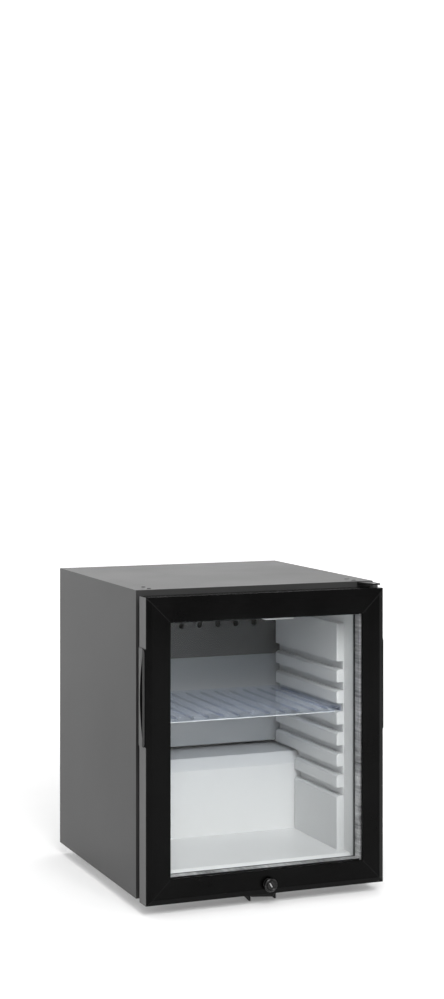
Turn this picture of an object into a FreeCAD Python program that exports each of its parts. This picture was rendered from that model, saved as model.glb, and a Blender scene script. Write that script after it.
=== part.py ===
import FreeCAD, Part
import math
import os
import re
import Sketcher

# Minibar fridge with a glass door, in millimetres.
# X runs to the right, Y to the back and Z up, with the origin on the ground under the middle.
# Pieces are drawn from the cabinet's front plane (y = 0) and underside (z = 0), then set in place.

SIZES = {
    # cabinet
    "cabinet_width": 410,
    "cabinet_depth": 403,
    "cabinet_height": 480,
    "sheet": 1,
    "shell_return": 12,
    "rear_return": 10,
    "rear_recess": 20,
    "pan_upstand": 14,
    "vent_length": 70,
    "vent_width": 6,
    "vent_pitch": 18,
    "vent_count": 6,
    "vent_middle": 90,
    "foot_height": 20,
    "foot_radius": 15,
    "foot_flare": 2,
    "foot_spigot_radius": 5,
    "foot_spigot_length": 4,
    "foot_inset_side": 45,
    "foot_inset_front": 72,
    "foot_inset_rear": 60,
    # liner and foam
    "side_wall": 36,
    "ceiling_drop": 40,
    "floor_height": 36,
    "sill_height": 28,
    "sill_depth": 12,
    "rear_wall": 63,
    "liner_wall": 2,
    "liner_round": 9,
    "hump_depth": 135,
    "hump_height": 166,
    "hump_bevel": 18,
    "step_depth": 147,
    "step_height": 138,
    "step_bevel": 26,
    "drain_radius": 4.5,
    "drain_wall": 1.5,
    # shelf and its runners
    "runner_front": 33,
    "runner_back_gap": 12,
    "runner_plate": 2,
    "runner_reach": 13,
    "runner_round": 3,
    "runner_pitch": 34.6,
    "runner_top_gap": 32,
    "top_block": 62,
    "groove_height": 13.5,
    "groove_lead": 3.5,
    "groove_count": 7,
    "runner_gap": 2,
    "shelf_groove": 2,
    "shelf_front": 40,
    "shelf_back_gap": 14,
    "shelf_plate": 3,
    "shelf_height": 8.4,
    "shelf_skirt": 2.5,
    "shelf_lip": 10,
    "shelf_rib_width": 1.6,
    "shelf_rib_depth": 4,
    "shelf_rib_margin": 9.7,
    "shelf_rib_count": 12,
    "shelf_side_gap": 0.7,
    "running_gap": 0.3,
    # cooling inside
    "cover_gap": 43,
    "cover_sheet": 2.5,
    "cover_slot": 7,
    "cover_side_gap": 0.3,
    "cover_hole_radius": 5,
    "cover_hole_pitch": 34,
    "cover_hole_count": 8,
    "cover_hole_drop": 58,
    "evaporator_sheet": 1.5,
    "evaporator_margin": 30,
    "channel_radius": 3.5,
    "channel_edge": 27,
    "channel_count": 7,
    # lamp and thermostat
    "control_inset": 51,
    "control_width": 60,
    "control_front": 100,
    "control_depth": 70,
    "control_drop": 28,
    "control_bevel": 6,
    "lens_thick": 2.5,
    "lens_margin": 4,
    "dial_radius": 12,
    "dial_thick": 9,
    "dial_grip_width": 5,
    "dial_grip_depth": 4,
    "dial_bevel": 1,
    "dial_shaft_radius": 3,
    "dial_shaft_length": 12,
    # door
    "door_side_gap": 1.5,
    "door_overhang": 2.7,
    "door_top_drop": 7.9,
    "gasket_gap": 12,
    "frame_face": 39.5,
    "frame_core": 30,
    "bevel_width": 9,
    "bevel_drop": 6,
    "lip_thick": 4,
    "lip_round": 1.5,
    "pane_thick": 4,
    "pane_clearance": 1,
    "spacer_depth": 16,
    "spacer_width": 8,
    "spacer_show": 1.5,
    "back_frame_thick": 6,
    "back_frame_gap": 0.3,
    "gasket_width": 18,
    "gasket_base": 2.5,
    "gasket_head": 4.2,
    "gasket_neck": 10,
    "gasket_fold": 2,
    "gasket_inset": 10.5,
    # hinges
    "pivot_inset": 10.5,
    "pivot_depth": 17,
    "pin_radius": 3,
    "running_fit": 0.05,
    "bush_radius": 5,
    "bush_length": 12,
    "bush_flange_radius": 6,
    "pin_end_gap": 2,
    "hinge_plate": 2.5,
    "hinge_reach": 52,
    "hinge_width": 38,
    "hinge_tongue": 24,
    "hinge_side_gap": 4,
    "hinge_tip_radius": 6.5,
    "hinge_notch_height": 4,
    "hinge_notch_gap": 2.7,
    "hinge_slot_gap": 0.5,
    "hinge_screw_inset": 27,
    "hinge_screw_front": 16,
    "hinge_screw_rear": 42,
    "screw_radius": 2,
    "screw_head_radius": 4,
    "screw_head": 1.5,
    "screw_length": 8,
    "plug_radius": 3.5,
    "plug_rise": 1,
    # finger grips
    "grip_drop": 79.1,
    "grip_length": 152,
    "grip_proud": 1.5,
    "grip_margin": 0.8,
    "grip_cup_depth": 12,
    "grip_wall": 1.5,
    "grip_pocket_length": 130,
    "grip_pocket_width": 12,
    "grip_pocket_front": 17.5,
    "grip_bevel": 5,
    # lock
    "lock_height": 14.4,
    "lock_reach": 11,
    "lock_head_radius": 11,
    "lock_head_seat": 4,
    "lock_head_bevel": 1.5,
    "lock_barrel_radius": 9.3,
    "lock_plug_radius": 6.5,
    "lock_plug_recess": 0.5,
    "keyway_width": 2.8,
    "keyway_height": 8,
    "keyway_depth": 10,
    "keyway_slant": 2.2,
    "cam_pocket_depth": 10.5,
    "cam_pocket_side": 2.5,
    "cam_thick": 2.5,
    "cam_back_gap": 4,
    "cam_hub_radius": 8,
    "cam_half_width": 4,
    "cam_length": 23.5,
    "cam_square": 6,
    "nut_flat": 22,
    "nut_thick": 2.8,
    "lock_end_gap": 0.7,
    "lock_pocket_half": 14.5,
    "lock_pocket_rise": 12,
    "cam_screw_radius": 1.5,
    "cam_screw_head_radius": 4.5,
    "cam_screw_head": 2.4,
    "keeper_width": 46,
    "keeper_sheet": 2.5,
    "keeper_drop": 7.5,
    "keeper_back": 40,
    "keeper_reach": 31,
    "keeper_lip": 3,
    "keeper_lip_end": 10,
    "keeper_corner_side": 8,
    "keeper_corner_depth": 7,
    "keeper_slot_gap": 2.5,
    "keeper_ear_front": 21,
    "keeper_ear_depth": 9,
    "keeper_ear_tip": 4,
    "keeper_ear_slope": 3,
    "keeper_web": 1.5,
    "keeper_screw_spread": 12,
    "keeper_screw_back": 28,
    # machine compartment
    "compressor_x": -60,
    "compressor_inset": 65,
    "compressor_radius": 60,
    "compressor_height": 104,
    "compressor_round": 22,
    "seam_height": 54,
    "seam_width": 2.5,
    "seam_thick": 4,
    "base_plate_width": 150,
    "base_plate_depth": 112,
    "base_plate_thick": 2.5,
    "grommet_height": 10,
    "grommet_radius": 9,
    "grommet_waist": 6,
    "grommet_inset": 14,
    "grommet_cap": 3,
    "terminal_width": 30,
    "terminal_depth": 40,
    "terminal_height": 42,
    "terminal_bottom": 8,
    "tray_size": 108,
    "tray_height": 14,
    "tray_wall": 2,
    "tube_radius": 2.5,
    "tube_bend": 14,
    "coil_depth": 10,
    "coil_margin": 40,
    "coil_bottom": 165,
    "coil_top_gap": 45,
    "coil_bend_gap": 1,
    "coil_runs": 10,
    "coil_lead": 12,
    "coil_return": 24,
    "wire_radius": 0.8,
    "wire_count": 11,
    "wire_overhang": 12,
    "bracket_width": 14,
    "bracket_height": 10,
    "bracket_inset": 75,
    "drier_radius": 6.5,
    "drier_length": 66,
    "drier_taper": 12,
    "capillary_radius": 1.2,
    "capillary_drop": 24,
    "suction_height": 74,
    "discharge_height": 70,
    "grille_sheet": 1.5,
    "louvre_length": 44,
    "louvre_width": 4,
    "louvre_pitch": 11,
    "louvre_count": 22,
    "louvre_bottom": 18,
    "louvre_row_pitch": 56,
    "louvre_middle": -40,
    "grille_screw_low": 22,
    "grille_screw_high": 118,
    "inlet_inset": 33,
    "inlet_height": 70,
    "inlet_width": 28,
    "inlet_tall": 21,
    "inlet_depth": 22,
    "inlet_flange": 5,
    "inlet_wall": 2.5,
    "inlet_recess": 16,
    "inlet_blade_width": 2,
    "inlet_blade_height": 4,
    "inlet_blade_pitch": 7,
    "inlet_blade_rise": 4,
}

# Places and lengths worked out from the sizes above.
PLACES = {
    "half": "cabinet_width / 2",
    "inner_half": "half - sheet",
    "front": "-(cabinet_depth + screw_head - gasket_gap - door_thick - lock_reach) / 2",
    "rear_plane": "cabinet_depth - rear_recess",
    "liner_depth": "cabinet_depth - rear_wall",
    "hump_front": "liner_depth - hump_depth",
    "step_front": "rear_plane - step_depth",
    "liner_half": "half - side_wall",
    "ceiling": "cabinet_height - ceiling_drop",
    "return_half": "half - shell_return",
    "cover_front": "liner_depth - cover_gap",
    "runner_back": "cover_front - runner_back_gap",
    "runner_top": "ceiling - runner_top_gap",
    "first_groove": "runner_top - top_block - groove_height",
    "groove_floor": "first_groove - shelf_groove * runner_pitch",
    "runner_face": "liner_half - runner_reach",
    "shelf_length": "cover_front - shelf_back_gap - shelf_front",
    "shelf_rib_pitch": "2 * (runner_face - shelf_rib_margin) / (shelf_rib_count - 1)",
    "shelf_half": "liner_half - runner_plate - shelf_side_gap",
    "shelf_bottom": "groove_floor + running_gap",
    "shelf_top": "shelf_bottom + shelf_height",
    "cover_half": "liner_half - cover_side_gap",
    "cover_bottom": "hump_height + cover_slot",
    "cover_hole_height": "ceiling - cover_hole_drop",
    "channel_pitch": "(ceiling - cover_bottom - 2 * evaporator_margin - channel_edge) / (channel_count - 1)",
    "control_bottom": "ceiling - control_drop",
    "control_left": "liner_half - control_inset - control_width",
    "control_middle": "control_left + control_width / 2",
    "dial_height": "ceiling - control_drop / 2",
    "door_half": "half - door_side_gap",
    "door_bottom": "-door_overhang",
    "door_top": "cabinet_height - door_top_drop",
    "door_thick": "lip_thick + 2 * pane_thick + spacer_depth + back_frame_thick",
    "door_back": "-gasket_gap",
    "door_front": "door_back - door_thick",
    "pane_edge": "frame_core + pane_clearance",
    "outer_pane_front": "door_front + lip_thick",
    "spacer_front": "outer_pane_front + pane_thick",
    "inner_pane_front": "spacer_front + spacer_depth",
    "back_frame_front": "inner_pane_front + pane_thick",
    "spacer_inner": "frame_face + spacer_show",
    "gasket_reach": "gasket_gap - running_gap",
    "pivot_x": "door_half - pivot_inset",
    "pivot_y": "door_back - pivot_depth",
    "notch_top": "door_bottom + hinge_notch_height",
    "hinge_top": "cabinet_height - sheet",
    "hinge_right": "half - hinge_side_gap",
    "hinge_screw_x": "half - hinge_screw_inset",
    "hinge_step": "hinge_screw_front - 2 * screw_head_radius",
    "tongue_left": "hinge_right - hinge_tongue",
    "return_low": "cabinet_height - shell_return",
    "grip_top": "door_top - grip_drop",
    "grip_bottom": "grip_top - grip_length",
    "grip_middle": "grip_bottom + grip_length / 2",
    "grip_face": "door_half + grip_proud",
    "side_front": "door_front + bevel_drop",
    "pocket_front": "door_back - grip_pocket_front",
    "pocket_radius": "(grip_pocket_length ^ 2 / 4 + grip_pocket_width ^ 2) / (2 * grip_pocket_width)",
    "lock_face": "door_front - lock_reach",
    "lock_seat": "door_front + lock_head_seat",
    "cam_pocket_back": "back_frame_front",
    "cam_pocket_front": "cam_pocket_back - cam_pocket_depth",
    "cam_back": "cam_pocket_back - cam_back_gap",
    "cam_front": "cam_back - cam_thick",
    "keeper_plate_top": "keeper_sheet - keeper_drop",
    "compartment_top": "step_height - sheet",
    "compressor_y": "rear_plane - compressor_inset",
    "compressor_foot": "sheet + grommet_height + base_plate_thick",
    "compressor_top": "compressor_foot + compressor_height",
    "coil_y": "rear_plane + coil_depth",
    "coil_half_width": "half - coil_margin",
    "coil_top": "cabinet_height - coil_top_gap",
    "coil_pitch": "(coil_top - coil_bottom) / (coil_runs - 1)",
    "coil_bend": "coil_pitch / 2 - coil_bend_gap",
    "coil_entry": "-(coil_half_width + coil_lead)",
    "coil_exit": "-(coil_half_width + coil_return)",
    "grille_front": "cabinet_depth - sheet - grille_sheet",
    "inlet_x": "half - inlet_inset",
    "drier_top": "step_height - coil_lead",
}

NAME = re.compile(r"[A-Za-z_]\w*")
TURNS = {
    "x": FreeCAD.Rotation(FreeCAD.Vector(0, 1, 0), 90),
    "y": FreeCAD.Rotation(FreeCAD.Vector(1, 0, 0), -90),
    "z": FreeCAD.Rotation(),
}
PLANES = {"x": "YZ_Plane", "y": "XZ_Plane", "z": "XY_Plane"}
# Largest distance between two places that count as the same when edges are picked.
TOUCH = 0.01

doc = FreeCAD.newDocument("MinibarFridge")


def formula(text, home=""):
    """Formula over the two sheets for a text that names sizes and places."""
    def cell(match):
        word = match.group(0)
        if word in SIZES:
            return f"Sizes.{word}"
        if word in PLACES:
            return word if home == "Places" else f"Places.{word}"
        return word
    return NAME.sub(cell, str(text))


def fill(name, values):
    """Sheet with one aliased cell for each value."""
    sheet = doc.addObject("Spreadsheet::Sheet", name)
    for row, (alias, value) in enumerate(values.items(), start=1):
        sheet.set(f"A{row}", alias)
        sheet.set(f"B{row}", value)
        sheet.setAlias(f"B{row}", alias)
    doc.recompute()
    return sheet


sizes = fill("Sizes", {alias: str(size) for alias, size in SIZES.items()})
places = fill("Places", {alias: f"={formula(text, 'Places')}" for alias, text in PLACES.items()})
bound = {}
nodes = []


def bind(thing, path, text):
    """Tie one property of an object to the sheet."""
    bound[thing.Name, path] = str(text)
    thing.setExpression(path, formula(text))


def locate(thing, place):
    """Tie an object's position to three formulas."""
    for axis, text in zip("xyz", place):
        bind(thing, f"Placement.Base.{axis}", text)


def node(part, label):
    """Name a finished sub-part and set it in the part's own frame."""
    part.Label = label
    for axis, shift in (("y", "front"), ("z", "foot_height")):
        path = f"Placement.Base.{axis}"
        own = bound.get((part.Name, path), "0")
        bind(part, path, f"{own} + {shift}")
    nodes.append(part)
    return part


def value(alias):
    """Present value of a size or a place."""
    return float((sizes if alias in SIZES else places).get(alias))


def box(name, across, along, upright):
    """Box between pairs of formulas in X, Y and Z."""
    solid = doc.addObject("Part::Box", name)
    sides = ("Length", "Width", "Height")
    for side, axis, (low, high) in zip(sides, "xyz", (across, along, upright)):
        bind(solid, side, f"({high}) - ({low})")
        bind(solid, f"Placement.Base.{axis}", low)
    return solid


def cylinder(name, axis, start, radius, length):
    """Cylinder from the middle of its first face along an axis."""
    solid = doc.addObject("Part::Cylinder", name)
    solid.Placement = FreeCAD.Placement(FreeCAD.Vector(), TURNS[axis])
    bind(solid, "Radius", radius)
    bind(solid, "Height", length)
    locate(solid, start)
    return solid


def group(name, parts):
    """Separate solids kept together."""
    bundle = doc.addObject("Part::Compound", name)
    bundle.Links = parts
    return bundle


def fuse(name, parts):
    """Union of solids."""
    joined = doc.addObject("Part::MultiFuse", name)
    joined.Shapes = parts
    joined.Refine = True
    return joined


def cut(name, base, tools):
    """Base without its tools."""
    rest = doc.addObject("Part::Cut", name)
    rest.Base = base
    rest.Tool = tools[0] if len(tools) == 1 else group(f"{name}_tools", tools)
    return rest


def common(name, first, second):
    """What two solids share."""
    shared = doc.addObject("Part::Common", name)
    shared.Base = first
    shared.Tool = second
    return shared


def outline(body, name, axis, points, offset):
    """Closed sketch through points given as pairs of formulas, square to an axis."""
    role = PLANES[axis]
    plane = next(item for item in body.Origin.OriginFeatures if item.Role == role)
    drawing = body.newObject("Sketcher::SketchObject", name)
    drawing.AttachmentSupport = [(plane, "")]
    drawing.MapMode = "FlatFace"
    bind(drawing, "AttachmentOffset.Base.z", offset)
    count = len(points)
    ring = [FreeCAD.Vector(math.cos(math.tau * i / count), math.sin(math.tau * i / count), 0)
            for i in range(count)]
    drawing.addGeometry([Part.LineSegment(ring[i], ring[(i + 1) % count]) for i in range(count)])
    rules = [Sketcher.Constraint("Coincident", i, 2, (i + 1) % count, 1) for i in range(count)]
    for i, corner in enumerate(ring):
        rules.append(Sketcher.Constraint("DistanceX", -1, 1, i, 1, corner.x))
        rules.append(Sketcher.Constraint("DistanceY", -1, 1, i, 1, corner.y))
    drawing.addConstraint(rules)
    for i, (first, second) in enumerate(points):
        bind(drawing, f"Constraints[{count + 2 * i}]", first)
        bind(drawing, f"Constraints[{count + 2 * i + 1}]", second)
    return drawing


def pad(body, name, axis, points, low, high):
    """Add an outline to a body, padded along an axis from low to high."""
    offset = f"-({high})" if axis == "y" else low
    drawing = outline(body, f"{name}_outline", axis, points, offset)
    feature = body.newObject("PartDesign::Pad", f"{name}_pad")
    feature.Profile = drawing
    bind(feature, "Length", f"({high}) - ({low})")
    body.Tip = feature
    return feature


def prism(name, axis, points, low, high):
    """Body made of one padded outline."""
    body = doc.addObject("PartDesign::Body", name)
    pad(body, name, axis, points, low, high)
    return body


def turned(name, axis, points, start):
    """Body of revolution: points are pairs of radius and distance along the axis from start."""
    body = doc.addObject("PartDesign::Body", name)
    body.Placement = FreeCAD.Placement(FreeCAD.Vector(), TURNS[axis])
    profile = outline(body, f"{name}_profile", "y", points, "0")
    feature = body.newObject("PartDesign::Revolution", f"{name}_turn")
    feature.Profile = profile
    feature.ReferenceAxis = (profile, ["V_Axis"])
    feature.Angle = 360
    body.Tip = feature
    locate(body, start)
    return body


def round_edges(body, name, radius, wanted):
    """Fillet the edges of a body's last feature that a test picks."""
    doc.recompute()
    base = body.Tip
    edges = [f"Edge{i}" for i, edge in enumerate(base.Shape.Edges, start=1) if wanted(edge)]
    fillet = body.newObject("PartDesign::Fillet", f"{name}_fillet")
    fillet.Base = (base, edges)
    bind(fillet, "Radius", radius)
    body.Tip = fillet
    return body


def repeat(body, name, feature, role, length, count):
    """Row of copies of a feature along one of the body's own axes."""
    axis = next(item for item in body.Origin.OriginFeatures if item.Role == role)
    row = body.newObject("PartDesign::LinearPattern", f"{name}_row")
    row.Originals = [feature]
    row.Direction = (axis, [""])
    bind(row, "Length", length)
    bind(row, "Occurrences", count)
    body.Tip = row
    return row


def rectangle(left, right, low, high):
    """Corner points of a rectangle."""
    return [(left, low), (right, low), (right, high), (left, high)]


def tube(name, points, radius, bend):
    """Round tube along straight runs joined by tangent arcs."""
    edges = []
    last = points[0]
    for before, corner, after in zip(points, points[1:], points[2:]):
        back = (before - corner).normalize()
        ahead = (after - corner).normalize()
        half_turn = back.getAngle(ahead) / 2
        reach = bend / math.tan(half_turn)
        start = corner + back * reach
        end = corner + ahead * reach
        inward = (back + ahead).normalize()
        middle = corner + inward * (bend / math.sin(half_turn) - bend)
        edges.append(Part.LineSegment(last, start).toShape())
        edges.append(Part.Arc(start, middle, end).toShape())
        last = end
    edges.append(Part.LineSegment(last, points[-1]).toShape())
    path = Part.Wire(edges)
    ring = Part.Wire(Part.makeCircle(radius, points[0], points[1] - points[0]))
    hose = doc.addObject("Part::Feature", name)
    hose.Shape = path.makePipeShell([ring], True, False)
    return hose


def spread(index, count, pitch):
    """Place of one of several evenly spaced items about zero."""
    return f"({index} - ({count} - 1) / 2) * {pitch}"


def side_span(side, inner, outer):
    """Span in X on the right (1) or left (-1) of the middle."""
    return (inner, outer) if side > 0 else (f"-({outer})", f"-({inner})")


def around(middle, size):
    """Span of one size about a middle."""
    return f"{middle} - {size} / 2", f"{middle} + {size} / 2"


def screw(name, axis, seat, outward):
    """Screw whose head stands on the positive (1) or negative (-1) side of its seat along an axis."""
    index = "xyz".index(axis)

    def start(reach):
        spot = list(seat)
        spot[index] = f"{seat[index]} - {reach}"
        return spot

    head = cylinder(f"{name}_head", axis, start("0" if outward > 0 else "screw_head"),
                    "screw_head_radius", "screw_head")
    shank = cylinder(f"{name}_shank", axis, start("screw_length" if outward > 0 else "0"),
                     "screw_radius", "screw_length")
    return fuse(name, [head, shank])


def wrap(width):
    """Upturned U round the cabinet with walls of one width."""
    inner = f"half - {width}"
    top = f"cabinet_height - {width}"
    return [("-half", "0"), ("-half", "cabinet_height"), ("half", "cabinet_height"), ("half", "0"),
            (inner, "0"), (inner, top), (f"-({inner})", top), (f"-({inner})", "0")]


def hinge_screw_places(side):
    """Front and rear hinge screw places on one side."""
    return [(f"{side} * hinge_screw_x", along) for along in ("hinge_screw_front", "hinge_screw_rear")]


FEET = {
    "front_left": ("foot_inset_side - half", "foot_inset_front"),
    "front_right": ("half - foot_inset_side", "foot_inset_front"),
    "rear_left": ("foot_inset_side - half", "cabinet_depth - foot_inset_rear"),
    "rear_right": ("half - foot_inset_side", "cabinet_depth - foot_inset_rear"),
}
KEEPER_SCREWS = [("-keeper_screw_spread", "keeper_screw_back"), ("keeper_screw_spread", "keeper_screw_back")]
GRILLE_SCREWS = [(f"{side} * (half - rear_return / 2)", height)
                 for side in (-1, 1) for height in ("grille_screw_low", "grille_screw_high")]
GROMMETS = [(f"compressor_x + {i} * (base_plate_width / 2 - grommet_inset)",
             f"compressor_y + {j} * (base_plate_depth / 2 - grommet_inset)")
            for i in (-1, 1) for j in (-1, 1)]
COMPRESSOR = ("compressor_x", "compressor_y")
PIVOT = ("pivot_x", "pivot_y")


def outer_shell():
    """Steel wrap with front and rear returns."""
    body = doc.addObject("PartDesign::Body", "shell_body")
    pad(body, "shell_wrap", "y", wrap("sheet"), "0", "cabinet_depth")
    pad(body, "shell_front", "y", wrap("shell_return"), "0", "sheet")
    pad(body, "shell_rear", "y", wrap("rear_return"), "cabinet_depth - sheet", "cabinet_depth")
    slot = box("hinge_slot", ("tongue_left - hinge_slot_gap", "hinge_right + hinge_slot_gap"),
               ("-sheet", "sheet"), ("return_low", "hinge_top"))
    holes = [cylinder("top_hole", "z", (x, y, "cabinet_height - 2 * sheet"), "screw_radius", "3 * sheet")
             for side in (-1, 1) for x, y in hinge_screw_places(side)]
    holes += [cylinder("return_hole", "y", (x, "cabinet_depth - 2 * sheet", z), "screw_radius", "3 * sheet")
              for x, z in GRILLE_SCREWS]
    node(cut("outer_shell", body, [slot, *holes]), "outer_shell")


def base_pan():
    """Floor sheet with a front and two side upstands."""
    edge = "inner_half - sheet"
    tray = [("-inner_half", "0"), ("inner_half", "0"), ("inner_half", "pan_upstand"), (edge, "pan_upstand"),
            (edge, "sheet"), (f"-({edge})", "sheet"), (f"-({edge})", "pan_upstand"),
            ("-inner_half", "pan_upstand")]
    body = doc.addObject("PartDesign::Body", "pan_body")
    pad(body, "pan_floor", "y", tray, "sheet", "cabinet_depth - sheet")
    pad(body, "pan_front", "y", rectangle("-return_half", "return_half", "0", "pan_upstand"), "0", "sheet")
    tools = [box("vent", around(f"vent_middle + {spread(i, 'vent_count', 'vent_pitch')}", "vent_width"),
                 around("compressor_y", "vent_length"), ("-sheet", "2 * sheet"))
             for i in range(int(value("vent_count")))]
    tools += [cylinder("spigot_hole", "z", (x, y, "-sheet"), "foot_spigot_radius", "3 * sheet")
              for x, y in FEET.values()]
    tools += [cylinder("pan_hole", "z", (x, y, "-sheet"), "screw_radius", "3 * sheet")
              for x, y in KEEPER_SCREWS + hinge_screw_places(1)]
    node(cut("base_pan", body, tools), "base_pan")


def rear_panel():
    """Flat back sheet above the machine compartment."""
    node(box("rear_panel", ("-inner_half", "inner_half"), ("rear_plane - sheet", "rear_plane"),
             ("compartment_top", "cabinet_height - sheet")), "rear_panel")


def compressor_step():
    """Bent sheet that roofs the machine compartment."""
    bend = "sheet * (sqrt(2) - 1)"
    profile = [("step_front", "sheet"), ("step_front", "step_height - step_bevel"),
               ("step_front + step_bevel", "step_height"), ("rear_plane - sheet", "step_height"),
               ("rear_plane - sheet", "compartment_top"),
               (f"step_front + step_bevel + {bend}", "compartment_top"),
               ("step_front + sheet", f"step_height - step_bevel - {bend}"), ("step_front + sheet", "sheet")]
    body = prism("step_body", "x", profile, "sheet - inner_half", "inner_half - sheet")
    hole = cylinder("step_hole", "z", (*COMPRESSOR, "compartment_top - sheet"),
                    "drain_radius + drain_wall", "3 * sheet")
    node(cut("compressor_step", body, [hole]), "compressor_step")


def liner_outside(name):
    """Solid inside the liner's outer faces, behind the cabinet front."""
    bend = "liner_wall * (sqrt(2) - 1)"
    profile = [("0", "sill_height - liner_wall"), ("sill_depth", "floor_height - liner_wall"),
               ("hump_front + liner_wall", "floor_height - liner_wall"),
               ("hump_front + liner_wall", f"hump_height - hump_bevel - {bend}"),
               (f"hump_front + hump_bevel + {bend}", "hump_height - liner_wall"),
               ("liner_depth + liner_wall", "hump_height - liner_wall"),
               ("liner_depth + liner_wall", "ceiling + liner_wall"), ("0", "ceiling + liner_wall")]
    return prism(name, "x", profile, "-(liner_half + liner_wall)", "liner_half + liner_wall")


def inner_liner():
    """Moulded inside of the cabinet with a sill, a hump over the compressor and rounded corners."""
    flange = box("liner_flange", ("-return_half", "return_half"), ("0", "liner_wall"),
                 ("pan_upstand", "return_low"))
    profile = [("-sheet", "sill_height"), ("0", "sill_height"), ("sill_depth", "floor_height"),
               ("hump_front", "floor_height"), ("hump_front", "hump_height - hump_bevel"),
               ("hump_front + hump_bevel", "hump_height"), ("liner_depth", "hump_height"),
               ("liner_depth", "ceiling"), ("-sheet", "ceiling")]
    cavity = prism("liner_cavity", "x", profile, "-liner_half", "liner_half")
    deep = value("liner_depth")
    high = value("ceiling")

    def corner(edge):
        middle = edge.CenterOfMass
        behind = abs(middle.y - deep) < TOUCH
        above = abs(middle.z - high) < TOUCH
        beside = abs(abs(middle.x) - value("liner_half")) < TOUCH
        ahead = middle.y < 0
        return not ahead and [behind, above, beside].count(True) == 2

    round_edges(cavity, "liner_corner", "liner_round", corner)
    drain = cylinder("liner_drain", "z", (*COMPRESSOR, "hump_height - 2 * liner_wall"),
                     "drain_radius", "3 * liner_wall")
    solid = fuse("liner_solid", [flange, liner_outside("liner_block")])
    node(cut("inner_liner", solid, [cavity, drain]), "inner_liner")


def foam_insulation():
    """Foam between the liner and the sheets, with room for the pieces that reach into it."""
    front = "sheet + liner_wall"
    profile = [(front, "sheet"), ("step_front", "sheet"), ("step_front", "step_height - step_bevel"),
               ("step_front + step_bevel", "step_height"), ("rear_plane - sheet", "step_height"),
               ("rear_plane - sheet", "cabinet_height - sheet"), (front, "cabinet_height - sheet")]
    body = prism("foam_body", "x", profile, "sheet - inner_half", "inner_half - sheet")
    tools = [liner_outside("foam_cavity")]
    hinge_left = "hinge_right - hinge_width"
    tools.append(box("hinge_pocket", (f"{hinge_left} - hinge_slot_gap", "hinge_right + hinge_slot_gap"),
                     ("0", "hinge_reach + hinge_slot_gap"),
                     ("hinge_top - hinge_plate - hinge_slot_gap", "cabinet_height")))
    tools += [cylinder("foam_top_hole", "z", (x, y, "cabinet_height - screw_length"), "screw_radius",
                       "screw_length")
              for x, y in hinge_screw_places(1)]
    tools += [cylinder("foam_low_hole", "z", (x, y, "0"), "screw_radius", "screw_length")
              for x, y in KEEPER_SCREWS + hinge_screw_places(1)]
    tools += [cylinder("foam_spigot", "z", (*FEET[name], "0"), "foot_spigot_radius", "foot_spigot_length")
              for name in ("front_left", "front_right")]
    tools.append(cylinder("foam_drain", "z", (*COMPRESSOR, "compartment_top"), "drain_radius + drain_wall",
                          "hump_height - step_height"))
    node(cut("foam_insulation", body, tools), "foam_insulation")


def shelf_runner(side, name):
    """Moulded rack of blocks on a side wall, with grooves and sloped lead edges between them."""
    plate = "liner_half - runner_plate"
    profile = [("liner_half", "floor_height"), ("liner_half", "runner_top"), ("runner_face", "runner_top")]
    for i in range(int(value("groove_count"))):
        low = f"first_groove - {i} * runner_pitch"
        high = f"{low} + groove_height"
        profile += [("runner_face", high), (plate, high), (plate, low)]
        profile += [("runner_face + groove_lead", low), ("runner_face", f"{low} - groove_lead")]
    profile.append(("runner_face", "floor_height"))
    mirrored = [(f"{side} * ({x})", z) for x, z in profile]
    body = prism(f"{name}_body", "y", mirrored, "runner_front", "runner_back")
    face = value("runner_face")
    start = value("runner_front")

    def block_corner(edge):
        middle = edge.CenterOfMass
        return upright(edge) and abs(abs(middle.x) - face) < TOUCH and abs(middle.y - start) < TOUCH

    round_edges(body, f"{name}_corner", "runner_round", block_corner)
    across = side_span(side, "runner_face - runner_gap", "liner_half + runner_gap")
    hump = box(f"{name}_hump", across, ("hump_front - runner_gap", "runner_back + runner_gap"),
               ("floor_height - runner_gap", "hump_height + runner_gap"))
    node(cut(name, body, [hump]), name)


def shelf():
    """Clear shelf: plate with side skirts, a front lip and ribs below."""
    under = "shelf_top - shelf_plate"
    inside = "shelf_half - shelf_skirt"
    section = [("-shelf_half", "shelf_bottom"), ("-shelf_half", "shelf_top"), ("shelf_half", "shelf_top"),
               ("shelf_half", "shelf_bottom"), (inside, "shelf_bottom"), (inside, under),
               (f"-({inside})", under), (f"-({inside})", "shelf_bottom")]
    back = "shelf_front + shelf_length"
    lip_half = "runner_face - 2 * shelf_side_gap"
    body = doc.addObject("PartDesign::Body", "shelf")
    pad(body, "shelf_deck", "y", section, "shelf_front", back)
    pad(body, "shelf_edge", "y", rectangle(f"-({lip_half})", lip_half, "shelf_top - shelf_lip", "shelf_top"),
        "shelf_front", "shelf_front + shelf_skirt")
    first = spread(0, "shelf_rib_count", "shelf_rib_pitch")
    rib = pad(body, "shelf_rib", "y", rectangle(*around(first, "shelf_rib_width"),
                                                f"{under} - shelf_rib_depth", under), "shelf_front", back)
    repeat(body, "shelf_rib", rib, "X_Axis", "(shelf_rib_count - 1) * shelf_rib_pitch", "shelf_rib_count")
    node(body, "shelf")


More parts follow.
